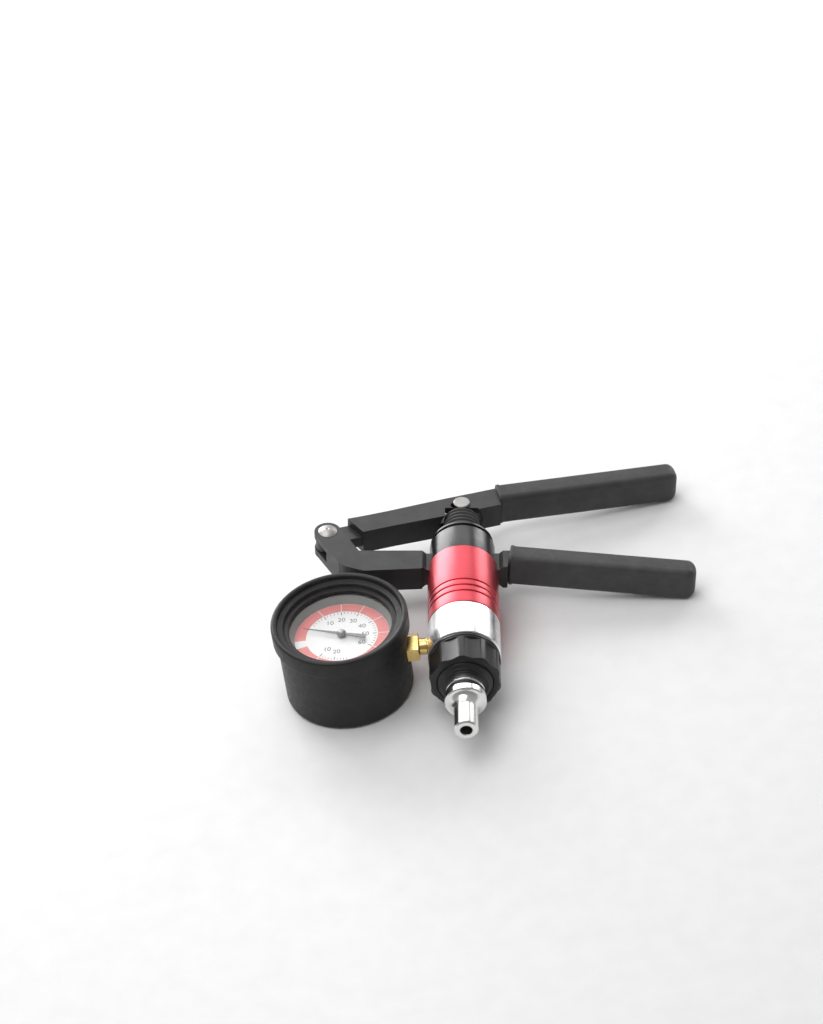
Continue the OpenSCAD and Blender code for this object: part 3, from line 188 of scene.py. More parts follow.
# Sizes of the finishes' marks, and all their depths, are in millimetres.
LATHE_TONE, LATHE_GLOSS, LATHE_LINES = 0.5, 7.0, 0.09
RUBBER_TONE, RUBBER_GLOSS, RUBBER_GRAIN = 9.0, 2.5, 0.25
RUBBER_GRAIN_SHARE = 0.4
PAINT_TONE, PAINT_GLOSS = 12.0, 5.0
METAL_TONE, METAL_GLOSS, METAL_MARKS, METAL_DEPTH = 6.0, 4.0, 0.8, 0.002
LENS_SMEARS = 14.0


def turned_metal(name, low, high, rough, metallic=1.0, depth=0.004, **constants):
    """Metal off a lathe: fine rings in its tone and relief, handling marks in its gloss."""
    finish = Finish(name, metallic, **constants)
    finish.colour(low, high, finish.turning_lines(LATHE_TONE))
    finish.rough(*rough, finish.noise(LATHE_GLOSS))
    finish.bump(finish.turning_lines(LATHE_LINES), depth)
    return finish


def rubber(name, low, high, rough, pebble, depth, **constants):
    """Moulded rubber: cloudy tone, uneven gloss, a pebbled skin and a finer grain on it."""
    finish = Finish(name, **constants)
    finish.colour(low, high, finish.noise(RUBBER_TONE))
    finish.rough(*rough, finish.noise(RUBBER_GLOSS))
    finish.bump(finish.pebbles(pebble), depth)
    finish.bump(finish.noise(RUBBER_GRAIN), depth * RUBBER_GRAIN_SHARE)
    return finish


def painted(name, low, high, rough, peel, depth, **constants):
    """Stoved or powder paint: slight orange peel and uneven gloss."""
    finish = Finish(name, **constants)
    finish.colour(low, high, finish.noise(PAINT_TONE))
    finish.rough(*rough, finish.noise(PAINT_GLOSS))
    finish.bump(finish.noise(peel), depth)
    return finish


def bare_metal(name, low, high, rough):
    """Plain worked metal: faint marks and uneven gloss."""
    finish = Finish(name, metallic=1.0)
    finish.colour(low, high, finish.noise(METAL_TONE))
    finish.rough(*rough, finish.noise(METAL_GLOSS))
    finish.bump(finish.noise(METAL_MARKS), METAL_DEPTH)
    return finish


def lens_glass(name, rough, **constants):
    """Clear lens with faint smears in its gloss; its low alpha shows the dial behind it."""
    finish = Finish(name, **constants)
    finish.rough(*rough, finish.noise(LENS_SMEARS))
    return finish


def printed(name, low, high):
    """Ink on the dial: a little uneven, half matt."""
    return painted(name, low, high, rough=(0.42, 0.5), peel=0.3, depth=0.002)


# One finish for each material slot of the record.
MATERIALS = {finish.name: finish.mat for finish in (
    turned_metal("bright_chrome", (0.78, 0.78, 0.77), (0.88, 0.88, 0.87), rough=(0.20, 0.27), depth=0.001),
    rubber("black_seal_rubber", (0.010,) * 3, (0.018,) * 3, rough=(0.38, 0.5), pebble=0.8, depth=0.01),
    turned_metal(
        "black_anodised", (0.004, 0.004, 0.005), (0.008, 0.008, 0.009), rough=(0.26, 0.30), metallic=0.0,
        depth=0.002, Specular_IOR_Level=0.6),
    turned_metal("satin_aluminium", (0.84, 0.84, 0.85), (0.92, 0.92, 0.93), rough=(0.26, 0.36)),
    turned_metal(
        "red_anodised", (0.56, 0.042, 0.062), (0.66, 0.054, 0.078), rough=(0.36, 0.44), Coat_Weight=0.6,
        Coat_Roughness=0.3),
    painted(
        "black_coated_alloy", (0.016, 0.016, 0.017), (0.026, 0.026, 0.028), rough=(0.36, 0.48), peel=0.7,
        depth=0.02),
    rubber(
        "grip_rubber", (0.034, 0.034, 0.035), (0.050, 0.050, 0.052), rough=(0.5, 0.64), pebble=0.7,
        depth=0.03),
    bare_metal("bare_steel", (0.37, 0.36, 0.35), (0.45, 0.44, 0.43), rough=(0.46, 0.54)),
    bare_metal("yellow_brass", (0.78, 0.55, 0.20), (0.86, 0.64, 0.27), rough=(0.20, 0.30)),
    painted(
        "moulded_piston", (0.76, 0.75, 0.70), (0.84, 0.83, 0.79), rough=(0.4, 0.5), peel=1.2, depth=0.01),
    rubber(
        "boot_rubber", (0.013,) * 3, (0.019,) * 3, rough=(0.42, 0.54), pebble=0.5, depth=0.015,
        Specular_IOR_Level=0.32),
    painted("case_paint", (0.020,) * 3, (0.028,) * 3, rough=(0.4, 0.5), peel=0.8, depth=0.02),
    painted(
        "dial_white", (0.96, 0.955, 0.955), (0.98, 0.975, 0.975), rough=(0.4, 0.5), peel=0.6, depth=0.004),
    painted(
        "dial_ring_grey", (0.30, 0.335, 0.325), (0.35, 0.385, 0.375), rough=(0.4, 0.5), peel=0.6,
        depth=0.01),
    painted(
        "pointer_paint", (0.28, 0.285, 0.30), (0.34, 0.345, 0.36), rough=(0.35, 0.45), peel=0.4,
        depth=0.004),
    lens_glass("clear_lens", rough=(0.02, 0.07), Alpha=0.03, Base_Color=(0.02, 0.02, 0.02, 1.0)),
)}

# Finishes that single pieces have in place of their slot's own.
DULL_BLACK = turned_metal(
    "dull_black", (0.009, 0.009, 0.010), (0.015, 0.015, 0.016), rough=(0.32, 0.38), metallic=0.0,
    depth=0.002, Specular_IOR_Level=0.45).mat
BELLOWS_RUBBER = rubber(
    "bellows_rubber", (0.052,) * 3, (0.070,) * 3, rough=(0.38, 0.5), pebble=0.8, depth=0.01).mat
RED_INK = printed("red_ink", (0.84, 0.29, 0.28), (0.90, 0.35, 0.34)).mat
GREY_INK = printed("grey_ink", (0.17, 0.17, 0.18), (0.22, 0.22, 0.23)).mat
WHITE_INK = printed("white_ink", (0.80, 0.78, 0.77), (0.86, 0.84, 0.83)).mat


def finish_solids():
    """Each CAD node gets the material of its record slot."""
    for subpart in frame["record"]["subparts"]:
        node = NODES[subpart["node"]]
        node.data.materials.clear()
        node.data.materials.append(MATERIALS[subpart["material_slot"]])


# CAD nodes that are shown with rounded edges, and how wide these are in millimetres.
SOFT_EDGES = {"handle_frame": 0.9, "lever": 0.9, "gauge_socket": 0.3}
WELD_GAP = 1e-6
FLAT_ANGLE = math.radians(0.5)
EDGE_ANGLE = math.radians(30.0)
EDGE_SEGMENTS = 2


def soften(node, width):
    """Rounds a solid's edges by modifiers, so its own mesh stays as packed."""
    weld = node.modifiers.new("weld", "WELD")
    weld.merge_threshold = WELD_GAP
    flat = node.modifiers.new("flat", "DECIMATE")
    flat.decimate_type = "DISSOLVE"
    flat.angle_limit = FLAT_ANGLE
    bevel = node.modifiers.new("bevel", "BEVEL")
    bevel.width = width * MM
    bevel.segments = EDGE_SEGMENTS
    bevel.limit_method = "ANGLE"
    bevel.angle_limit = EDGE_ANGLE
    bevel.miter_outer = "MITER_ARC"
    normals = node.modifiers.new("normals", "WEIGHTED_NORMAL")
    normals.keep_sharp = False


# In metres: points this close are one, and points this close to a cutting plane lie in it.
SAME_POINT = 1e-7
ON_PLANE = 1e-9

# Edges up to this many degrees look smooth, and a rounded corner has this many steps.
SMOOTH_ANGLE = 35.0
ARC_STEPS = 5


def piece(name, bm, material, body, replaces=(), smooth_angle=SMOOTH_ANGLE):
    """Turns a bmesh into a shown piece that rides on a body, or on none yet."""
    bmesh.ops.recalc_face_normals(bm, faces=bm.faces)
    mesh = bpy.data.meshes.new(name)
    bm.to_mesh(mesh)
    bm.free()
    mesh.polygons.foreach_set("use_smooth", [True] * len(mesh.polygons))
    mesh.set_sharp_from_angle(angle=math.radians(smooth_angle))
    mesh.materials.append(material)
    made = bpy.data.objects.new(name, mesh)
    bpy.context.scene.collection.objects.link(made)
    if body:
        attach(made, body)
    if replaces:
        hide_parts(*replaces)
    return made


def rounded(corners, steps=ARC_STEPS):
    """A line through (x, y, radius) corners, with each corner drawn as an arc of its radius."""
    line = []
    for i, (x, y, radius) in enumerate(corners):
        here = Vector((x, y))
        if radius == 0 or i in (0, len(corners) - 1):
            line.append(here)
            continue
        back = (Vector(corners[i - 1][:2]) - here).normalized()
        on = (Vector(corners[i + 1][:2]) - here).normalized()
        half = back.angle(on) / 2
        middle = here + (back + on).normalized() * (radius / math.sin(half))
        first = here + back * (radius / math.tan(half)) - middle
        turn = first.angle_signed(here + on * (radius / math.tan(half)) - middle)
        for k in range(steps + 1):
            line.append(middle + Matrix.Rotation(-turn * k / steps, 2) @ first)
    return line


def lathe(line, place, steps):
    """A skin swept round the local Z axis from (radius, height) points in metres, then placed."""
    bm = bmesh.new()
    closed = (line[0] - line[-1]).length < SAME_POINT
    turns = [Matrix.Rotation(FULL_TURN * k / steps, 3, "Z") for k in range(steps)]
    points = line[:-1] if closed else line
    rings = []
    for radius, height in points:
        start = Vector((radius, 0.0, height))
        if abs(radius) < SAME_POINT:
            rings.append([bm.verts.new(start)] * steps)
        else:
            rings.append([bm.verts.new(turn @ start) for turn in turns])
    if closed:
        rings.append(rings[0])
    for a, b in zip(rings, rings[1:]):
        for k in range(steps):
            n = (k + 1) % steps
            corners = list(dict.fromkeys((a[k], a[n], b[n], b[k])))
            if len(corners) > 2:
                bm.faces.new(corners)
    bmesh.ops.transform(bm, matrix=place, verts=bm.verts)
    return bm


def copy_of(node):
    """A welded copy of a solid's mesh."""
    bm = bmesh.new()
    bm.from_mesh(NODES[node].data)
    bmesh.ops.remove_doubles(bm, verts=bm.verts, dist=SAME_POINT)
    return bm


def box_in(place, node):
    """The lowest and highest corner of a solid in another frame."""
    into = place.inverted()
    points = [into @ vert.co for vert in NODES[node].data.vertices]
    return [Vector(pick(p[i] for p in points) for i in range(3)) for pick in (min, max)]


def box_bm(low, high, place):
    """A box between two corners of another frame."""
    bm = bmesh.new()
    bmesh.ops.create_cube(bm, size=1.0)
    size = Vector(high) - Vector(low)
    middle = (Vector(low) + Vector(high)) / 2
    into_box = place @ Matrix.Translation(middle) @ Matrix.Diagonal((*size, 1.0))
    bmesh.ops.transform(bm, matrix=into_box, verts=bm.verts)
    return bm


def cut_mesh(made, tool_bm):
    """Takes a tool's volume out of a piece's mesh for good."""
    tool_mesh = bpy.data.meshes.new("tool")
    tool_bm.to_mesh(tool_mesh)
    tool_bm.free()
    tool = bpy.data.objects.new("tool", tool_mesh)
    bpy.context.scene.collection.objects.link(tool)
    cut = made.modifiers.new("cut", "BOOLEAN")
    cut.object = tool
    cut.operation = "DIFFERENCE"
    bpy.context.view_layer.update()
    as_cut = made.evaluated_get(bpy.context.evaluated_depsgraph_get())
    result = bpy.data.meshes.new_from_object(as_cut)
    made.modifiers.clear()
    made.data = result
    result.set_sharp_from_angle(angle=math.radians(SMOOTH_ANGLE))
    bpy.data.objects.remove(tool)


def cut_outline(node, place, bearing):
    """One side of a turned solid's cut face, as (radius, height) points in order about its own axis."""
    bm = bmesh.new()
    bm.from_mesh(NODES[node].data)
    turn = Matrix.Rotation(math.radians(-bearing), 4, "Z")
    bmesh.ops.transform(bm, matrix=turn @ place.inverted(), verts=bm.verts)
    bmesh.ops.remove_doubles(bm, verts=bm.verts, dist=SAME_POINT)
    for normal, other_side in (((1, 0, 0), False), ((0, 1, 0), True)):
        bmesh.ops.bisect_plane(
            bm, geom=[*bm.verts, *bm.edges, *bm.faces], dist=ON_PLANE, plane_co=(0, 0, 0), plane_no=normal,
            clear_inner=True, clear_outer=other_side)
    bmesh.ops.remove_doubles(bm, verts=bm.verts, dist=SAME_POINT)
    ends = [vert for vert in bm.verts if len(vert.link_edges) == 1]
    here = min(ends or list(bm.verts), key=lambda vert: (vert.co.x, vert.co.z))
    line, passed = [], set()
    while here is not None:
        line.append(here.co.xz)
        passed.add(here)
        beside = [edge.other_vert(here) for edge in here.link_edges]
        onward = [vert for vert in beside if vert not in passed]
        here = min(onward, key=lambda vert: vert.co.z, default=None)
    if not ends:
        # A closed outline starts within a side, so that each of its corners can be eased.
        within_side = (line[0] + line[-1]) / 2
        line = [within_side, *line, within_side]
    bm.free()
    return line


# Steps shorter than this in metres, and turns smaller than this, are dropped from an outline.
SHORTEST_STEP = 1e-6
STRAIGHT_TURN = math.radians(0.3)

# Corners sharper than this are rounded, within a share of the shorter side beside them.
SHARP_TURN = math.radians(25.0)
ROOM_SHARE = 0.45


def eased(line, edge):
    """An outline without its needless points, and with its corners rounded as far as there is room."""
    kept = [line[0]]
    for here, on in zip(line[1:], line[2:]):
        step = here - kept[-1]
        if step.length > SHORTEST_STEP and step.angle(on - here) > STRAIGHT_TURN:
            kept.append(here)
    kept.append(line[-1])
    corners = [(*kept[0], 0)]
    for back, here, on in zip(kept, kept[1:], kept[2:]):
        turn = (here - back).angle(on - here)
        room = ROOM_SHARE * min((here - back).length, (on - here).length) / math.tan(turn / 2)
        corners.append((*here, min(edge, room) if turn > SHARP_TURN else 0))
    corners.append((*kept[-1], 0))
    return rounded(corners)


# The turned solids are cut at a bearing, in degrees, that meets no hole or way from the side.
CUT_BEARING = 47.0
TURNED_STEPS, SMALL_STEPS = 168, 96


def turned(name, node, edge, slot, place, body="pump_body", steps=TURNED_STEPS, material=None):
    """A turned solid swept afresh from its own cut face, with edges eased by edge millimetres."""
    line = eased(cut_outline(node, place, CUT_BEARING), edge * MM)
    return piece(name, lathe(line, place, steps), material or MATERIALS[slot], body, [node])


# The ways that the handle's neck takes through barrel and cap, in the handles' frame.
WAY_IN, WAY_OUT, WAY_HALF = 13.54 * MM, 19.0 * MM, 5.3 * MM
WAY_SPARE = 1 * MM
RING_DROP, ARM_W = 5.5 * MM, 13.0 * MM


def cut_arm_ways(made, low_y, high_y):
    """Cuts the ways for the handle's neck into both sides of a piece."""
    for side in (-1, 1):
        near, far = sorted((side * WAY_IN, side * WAY_OUT))
        cut_mesh(made, box_bm((near, low_y, -WAY_HALF), (far, high_y, WAY_HALF), HANDLES))


def turned_pieces():
    """The lathe-turned solids, each about its own axis."""
    turned("turned_nozzle", "hose_nozzle", edge=0.3, slot="bright_chrome", place=ALONG_BARREL)
    turned(
        "turned_nut", "nose_nut", edge=0.25, slot="black_anodised", place=ALONG_BARREL, material=DULL_BLACK)
    turned("turned_block", "gauge_block", edge=0.3, slot="satin_aluminium", place=ALONG_BARREL)
    barrel = turned("turned_barrel", "barrel", edge=0.3, slot="red_anodised", place=ALONG_BARREL)
    cap = turned("turned_cap", "top_cap", edge=0.35, slot="black_anodised", place=ALONG_BARREL)
    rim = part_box("top_cap")[0].y
    cut_arm_ways(barrel, rim - RING_DROP, rim + WAY_SPARE)
    cut_arm_ways(cap, rim - WAY_SPARE, rim - RING_DROP + ARM_W)
    pins = (("turned_pin", "rod_pin", "piston"), ("turned_rivet", "pivot_rivet", "pump_body"))
    for name, node, body in pins:
        low, high = box_in(HANDLES, node)
        upright = HANDLES @ Matrix.Translation((low + high) / 2)
        turned(name, node, edge=0.3, slot="bare_steel", place=upright, body=body, steps=SMALL_STEPS)
    at = centre_of("port_nipple")
    across = Matrix.Translation((0, at.y, at.z)) @ Matrix.Rotation(math.pi / 2, 4, "Y")
    turned("turned_fitting", "port_nipple", edge=0.3, slot="yellow_brass", place=across, steps=SMALL_STEPS)


# The selector's flutes, which stop short of its lip. Its outline is cut beside the mesh edge on a ridge.
FLUTES = 10
FLUTE_R = 26.0 * MM
FLUTE_DEPTH = 0.9 * MM
FLUTE_RUN_OUT = (-0.25 * MM, 0.05 * MM)
RING_LIP = 2.8 * MM
RING_EDGE = 0.3 * MM
RING_STEPS = 360
RIDGE_BEARING = 3 * 180.0 / FLUTES + 0.4
RING_SMOOTH_ANGLE = 30.0


def selector_ring():
    """Ring swept at a ridge between two flutes, with the flutes scooped out by angle."""
    line = eased(cut_outline("selector_ring", ALONG_BARREL, RIDGE_BEARING), RING_EDGE)
    ring_r = max(p[0] for p in line)
    centre = ring_r - FLUTE_DEPTH + FLUTE_R
    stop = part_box("selector_ring")[1].y - RING_LIP
    fine = [line[0]]
    for a, b in zip(line, line[1:]):
        if min(a.x, b.x) > ring_r - FLUTE_DEPTH and (a.y - stop) * (b.y - stop) < 0:
            fine += [Vector((ring_r, stop + shift)) for shift in sorted(FLUTE_RUN_OUT, reverse=a.y > b.y)]
        fine.append(b)
    bm = lathe(fine, Matrix(), RING_STEPS)
    for vert in bm.verts:
        radius = vert.co.xy.length
        off = math.remainder(math.atan2(vert.co.y, vert.co.x), FULL_TURN / FLUTES)
        scoop = centre * math.cos(off) - math.sqrt(FLUTE_R ** 2 - (centre * math.sin(off)) ** 2)
        if vert.co.z < stop and radius > scoop:
            vert.co.xy *= scoop / radius
    bmesh.ops.transform(bm, matrix=ALONG_BARREL, verts=bm.verts)
    return piece(
        "fluted_ring", bm, DULL_BLACK, "selector", ["selector_ring"], RING_SMOOTH_ANGLE)


# The boot's outline: a body, a wider rim with a bead, and a funnel in two steps down to its mouth.
BOOT_BODY_R = 32.0 * MM
BOOT_RIM_H = 9.0 * MM
BOOT_BEAD = 1.4 * MM
BOOT_FUNNEL_IN = 2.2 * BOOT_BEAD
BOOT_MOUTH_R = 25.5 * MM
BOOT_LIP = 1.5 * MM
BOOT_SEAT = 0.05 * MM
FOOT_ROUND, RIM_ROUND = 1.9 * MM, 0.8 * MM
BEAD_ROUND_OUT, BEAD_ROUND_IN = 1.35 * MM, 1.3 * MM
LEDGE_ROUND, STEP_ROUND, MOUTH_ROUND = 0.5 * MM, 0.4 * MM, 0.7 * MM
BOOT_STEPS, BOOT_ARC_STEPS = 160, 8
BOOT_HOLE_R, BOOT_HOLE_DEPTH = 7.57 * MM, 20 * MM
BOOT_HOLE_STEPS = 48


def gauge_boot():
    """Thick rubber boot: beaded crest, funnel to the lens, soft foot and a hole for the brass stem."""
    low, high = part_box("gauge_boot")
    case_low, case_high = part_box("gauge_case")
    side = (high.x - low.x) / 2
    inner = (case_high.x - case_low.x) / 2 + BOOT_SEAT
    lip = case_high.z + BOOT_SEAT
    ledge = (high.z + lip + BOOT_LIP) / 2
    ledge_out = side - BOOT_FUNNEL_IN
    ledge_in = (ledge_out + BOOT_MOUTH_R) / 2
    line = rounded([
        (0, low.z, 0),
        (BOOT_BODY_R, low.z, FOOT_ROUND),
        (BOOT_BODY_R, high.z - BOOT_RIM_H - (side - BOOT_BODY_R), RIM_ROUND),
        (side, high.z - BOOT_RIM_H, RIM_ROUND),
        (side, high.z, BEAD_ROUND_OUT),
        (side - 2 * BOOT_BEAD, high.z, BEAD_ROUND_IN),
        (ledge_out, ledge, LEDGE_ROUND),
        (ledge_in, ledge - BOOT_LIP / 4, LEDGE_ROUND),
        (ledge_in - BOOT_LIP / 4, lip + BOOT_LIP, STEP_ROUND),
        (BOOT_MOUTH_R, lip + BOOT_LIP, MOUTH_ROUND),
        (BOOT_MOUTH_R, lip, 0),
        (inner, lip, 0),
        (inner, case_low.z - BOOT_SEAT, 0),
        (0, case_low.z - BOOT_SEAT, 0),
    ], BOOT_ARC_STEPS)
    at = centre_of("gauge_boot")
    skin = lathe(line, Matrix.Translation((at.x, at.y, 0)), BOOT_STEPS)
    made = piece("rubber_boot", skin, MATERIALS["boot_rubber"], "pump_body", ["gauge_boot"])
    hole = bmesh.new()
    bmesh.ops.create_cone(
        hole, cap_ends=True, segments=BOOT_HOLE_STEPS, radius1=BOOT_HOLE_R, radius2=BOOT_HOLE_R,
        depth=BOOT_HOLE_DEPTH)
    stem_at = Vector((high.x, centre_of("gauge_socket").y, 0))
    along_stem = Matrix.Translation(stem_at) @ Matrix.Rotation(math.pi / 2, 4, "Y")
    bmesh.ops.transform(hole, matrix=along_stem, verts=hole.verts)
    cut_mesh(made, hole)
    return made


def shorten_with_rod(made):
    """Gives a piece its own copy of its mesh."""
    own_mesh(made)


# The bellows: a plain foot, folds that narrow towards the lever, and a top that closes on the rod.
BELLOWS_FOLDS = 7.5
FOLD_STEPS = 12
FOLD_DEPTH = 2.2 * MM
FOLD_FULLNESS = 0.7
BELLOWS_FOOT, BELLOWS_FOOT_IN, BELLOWS_FOOT_OUT = 1.4 * MM, 2 * MM, 0.95 * MM
BELLOWS_TOP, BELLOWS_TOP_R = 1.5 * MM, 9.2 * MM
BELLOWS_SHOULDER_IN, BELLOWS_COLLAR = 0.6 * MM, 1.4 * MM
BELLOWS_ROUND, BELLOWS_TOP_ROUND = 0.5 * MM, 0.6 * MM
BELLOWS_SMOOTH_ANGLE = 60.0
ROD_R = 5.05 * MM
RUBBER_STEPS = 112


def rod_bellows():
    """Bellows with round folds that narrow towards the lever."""
    low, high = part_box("rod_bellows")
    foot_r = (high.x - low.x) / 2
    wide = foot_r - BELLOWS_FOOT_OUT
    start, stop = low.y + BELLOWS_FOOT, high.y - BELLOWS_TOP
    steps = int(FOLD_STEPS * BELLOWS_FOLDS)
    folds = []
    for k in range(steps + 1):
        share = k / steps
        swell = 0.5 - 0.5 * math.cos(FULL_TURN * BELLOWS_FOLDS * share)
        crest = wide + (BELLOWS_TOP_R - wide) * share
        radius = crest - FOLD_DEPTH * (1 - swell ** FOLD_FULLNESS)
        folds.append(Vector((radius, start + (stop - start) * share)))
    foot = rounded([
        (ROD_R + BELLOWS_FOOT_IN, low.y, 0),
        (foot_r, low.y, BELLOWS_ROUND),
        (foot_r, start, BELLOWS_ROUND),
        (folds[0].x, start, 0),
    ])
    top = rounded([
        (folds[-1].x, stop, 0),
        (BELLOWS_TOP_R - BELLOWS_SHOULDER_IN, stop + BELLOWS_TOP / 2, BELLOWS_ROUND),
        (ROD_R + BELLOWS_COLLAR, high.y, BELLOWS_TOP_ROUND),
        (ROD_R, high.y, 0),
    ])
    line = foot[:-1] + folds + top[1:] + [Vector((ROD_R, low.y)), foot[0]]
    made = piece(
        "bellows_folds", lathe(line, ALONG_BARREL, RUBBER_STEPS), BELLOWS_RUBBER, "pump_body",
        ["rod_bellows"], BELLOWS_SMOOTH_ANGLE)
    shorten_with_rod(made)
    return made


def return_spring():
    """The spring behind the piston, as a copy of its solid."""
    made = piece(
        "spring_wire", copy_of("return_spring"), MATERIALS["bare_steel"], "pump_body",
        ["return_spring"])
    shorten_with_rod(made)
    return made


def bent_tube():
    """The gauge's tube, as a copy of its solid laid in the world frame and fastened to no body."""
    made = piece(
        "flexing_tube", copy_of("bourdon_tube"), MATERIALS["yellow_brass"], None,
        ["bourdon_tube"])
    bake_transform(made)
    return made


SEAL_ARC_STEPS = 28


def nozzle_seal():
    """Round-section rubber ring in the nozzle's land."""
    low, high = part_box("nozzle_seal_ring")
    section = (high.y - low.y) / 2
    ring = (high.x - low.x) / 2 - section
    angles = [FULL_TURN * k / SEAL_ARC_STEPS for k in range(SEAL_ARC_STEPS + 1)]
    circle = [Vector((ring + section * math.cos(a), section * math.sin(a))) for a in angles]
    place = Matrix.Translation((0, (low.y + high.y) / 2, 0)) @ ALONG_BARREL
    return piece(
        "nozzle_ring", lathe(circle, place, RUBBER_STEPS), MATERIALS["black_seal_rubber"], "pump_body",
        ["nozzle_seal_ring"])


# The grips slope in the handles' plane. Each has a bead at its mouth, soft edges and a round end.
FIXED_GRIP_SLOPE = math.radians(-7.3)
LEVER_GRIP_SLOPE = math.radians(11.39)
GRIP_EDGE, GRIP_EDGE_LEAST = 3.0 * MM, 0.6 * MM
GRIP_EDGE_LOSS = 0.4
GRIP_END = 5.0 * MM
GRIP_END_STEPS = 8
GRIP_BEAD = 0.35 * MM
GRIP_ARC_STEPS = 6

# Sections of a grip: at its mouth how far along and how far drawn in, on its sides as shares of its length.
GRIP_MOUTH = ((0, 0.5 * MM), (0.15 * MM, 0.15 * MM), (0.5 * MM, 0), (1.6 * MM, 0), (2.2 * MM, GRIP_BEAD))
GRIP_SIDES = (0.1, 0.25, 0.4, 0.55, 0.7, 0.85)


def grip_section(width, thick, radius):
    """A rounded rectangle across a grip, as (y, z) points."""
    points = []
    for corner in range(4):
        centre = Vector((
            (width / 2 - radius) * (1 if corner in (0, 3) else -1),
            (thick / 2 - radius) * (1 if corner < 2 else -1)))
        for k in range(GRIP_ARC_STEPS + 1):
            a = math.radians(90 * corner + 90 * k / GRIP_ARC_STEPS)
            points.append(centre + radius * Vector((math.cos(a), math.sin(a))))
    return points


def grip(name, node, slope, body):
    """Moulded grip: a soft-edged sleeve with a small bead at its mouth and a round end."""
    place = HANDLES @ Matrix.Rotation(slope, 4, "Z")
    low, high = box_in(place, node)
    length, width, thick = high - low
    middle = (low + high) / 2
    stations = [*GRIP_MOUTH, *((length * share, GRIP_BEAD) for share in GRIP_SIDES)]
    for k in range(GRIP_END_STEPS + 1):
        a = math.pi / 2 * k / GRIP_END_STEPS
        along = length - GRIP_END + GRIP_END * math.sin(a)
        stations.append((along, GRIP_BEAD + GRIP_END * (1 - math.cos(a))))
    bm = bmesh.new()
    rings = []
    for along, inset in stations:
        radius = max(GRIP_EDGE - GRIP_EDGE_LOSS * inset, GRIP_EDGE_LEAST)
        section = grip_section(width - 2 * inset, thick - 2 * inset, radius)
        rings.append([bm.verts.new((low.x + along, middle.y + p.x, middle.z + p.y)) for p in section])
    for a, b in zip(rings, rings[1:]):
        for k in range(len(a)):
            n = (k + 1) % len(a)
            bm.faces.new((a[k], a[n], b[n], b[k]))
    bm.faces.new(rings[0])
    bm.faces.new(rings[-1])
    bmesh.ops.transform(bm, matrix=place, verts=bm.verts)
    return piece(name, bm, MATERIALS["grip_rubber"], body, [node])


# The dial's print, in millimetres and degrees about the dial's middle.
INK, INK_FOOT = 0.04, 0.005
BAND_IN, BAND_OUT = 17.9, 23.4
BAND_FROM, BAND_TO = 198.0, 544.0
BAND_STEP = 3.0
PRESSURE_NUMBERS = {122.0: "10", 92.0: "20", 62.0: "30", 31.0: "40", 0.0: "50", -31.0: "60"}
SUCTION_NUMBERS = {232.0: "10", 258.0: "20"}
PRESSURE_STEP, SUCTION_STEP = 31.0, 26.0
NUMBER_R, NUMBER_H = 11.6, 2.7
DIGIT_SHARE = 0.7
WHITE_MARK_W = 0.45
TICK_GAP, LONG_TICK, SHORT_TICK = 0.5, 2.6, 1.7
LONG_TICK_W, SHORT_TICK_W = 0.4, 0.25
DIVISIONS = 5


def polar(r, degrees, z=0.0):
    """A way from the dial's middle, out of millimetres and degrees."""
    a = math.radians(degrees)
    return Vector((r * math.cos(a), r * math.sin(a), z)) * MM


def sector(bm, inner, outer, start, stop):
    """Adds a thin printed sector of a ring to a mesh."""
    steps = int((stop - start) / BAND_STEP)
    angles = [start + (stop - start) * k / steps for k in range(steps + 1)]
    rows = [[bm.verts.new(DIAL_AT + polar(r, a, z)) for a in angles]
            for r, z in ((inner, INK_FOOT), (inner, INK), (outer, INK), (outer, INK_FOOT))]
    for a, b in zip(rows, rows[1:] + rows[:1]):
        for k in range(steps):
            bm.faces.new((a[k], a[k + 1], b[k + 1], b[k]))
    for end in (0, -1):
        bm.faces.new([row[end] for row in rows])


def tick(bm, inner, outer, degrees, width, high=INK):
    """Adds a thin straight mark along a radius."""
    across = polar(width / 2, degrees + 90)
    ends = ((inner, -1), (outer, -1), (outer, 1), (inner, 1))
    corners = [polar(r, degrees) + side * across for r, side in ends]
    levels = [DIAL_AT + Vector((0, 0, z * MM)) for z in (INK_FOOT, high)]
    loops = [[bm.verts.new(level + corner) for corner in corners] for level in levels]
    bm.faces.new(loops[0])
    bm.faces.new(loops[1])
    for k in range(4):
        n = (k + 1) % 4
        bm.faces.new((loops[0][k], loops[0][n], loops[1][n], loops[1][k]))


def number_mesh(word, at):
    """A plain number as a thin mesh, centred on a place."""
    curve = bpy.data.curves.new("number", "FONT")
    curve.body = word
    curve.size = NUMBER_H * MM / DIGIT_SHARE
    curve.extrude = INK / 2 * MM
    curve.align_x, curve.align_y = "CENTER", "CENTER"
    text = bpy.data.objects.new("number", curve)
    mesh = bpy.data.meshes.new_from_object(text)
    mesh.transform(Matrix.Translation(at))
    bpy.data.objects.remove(text)
    return mesh


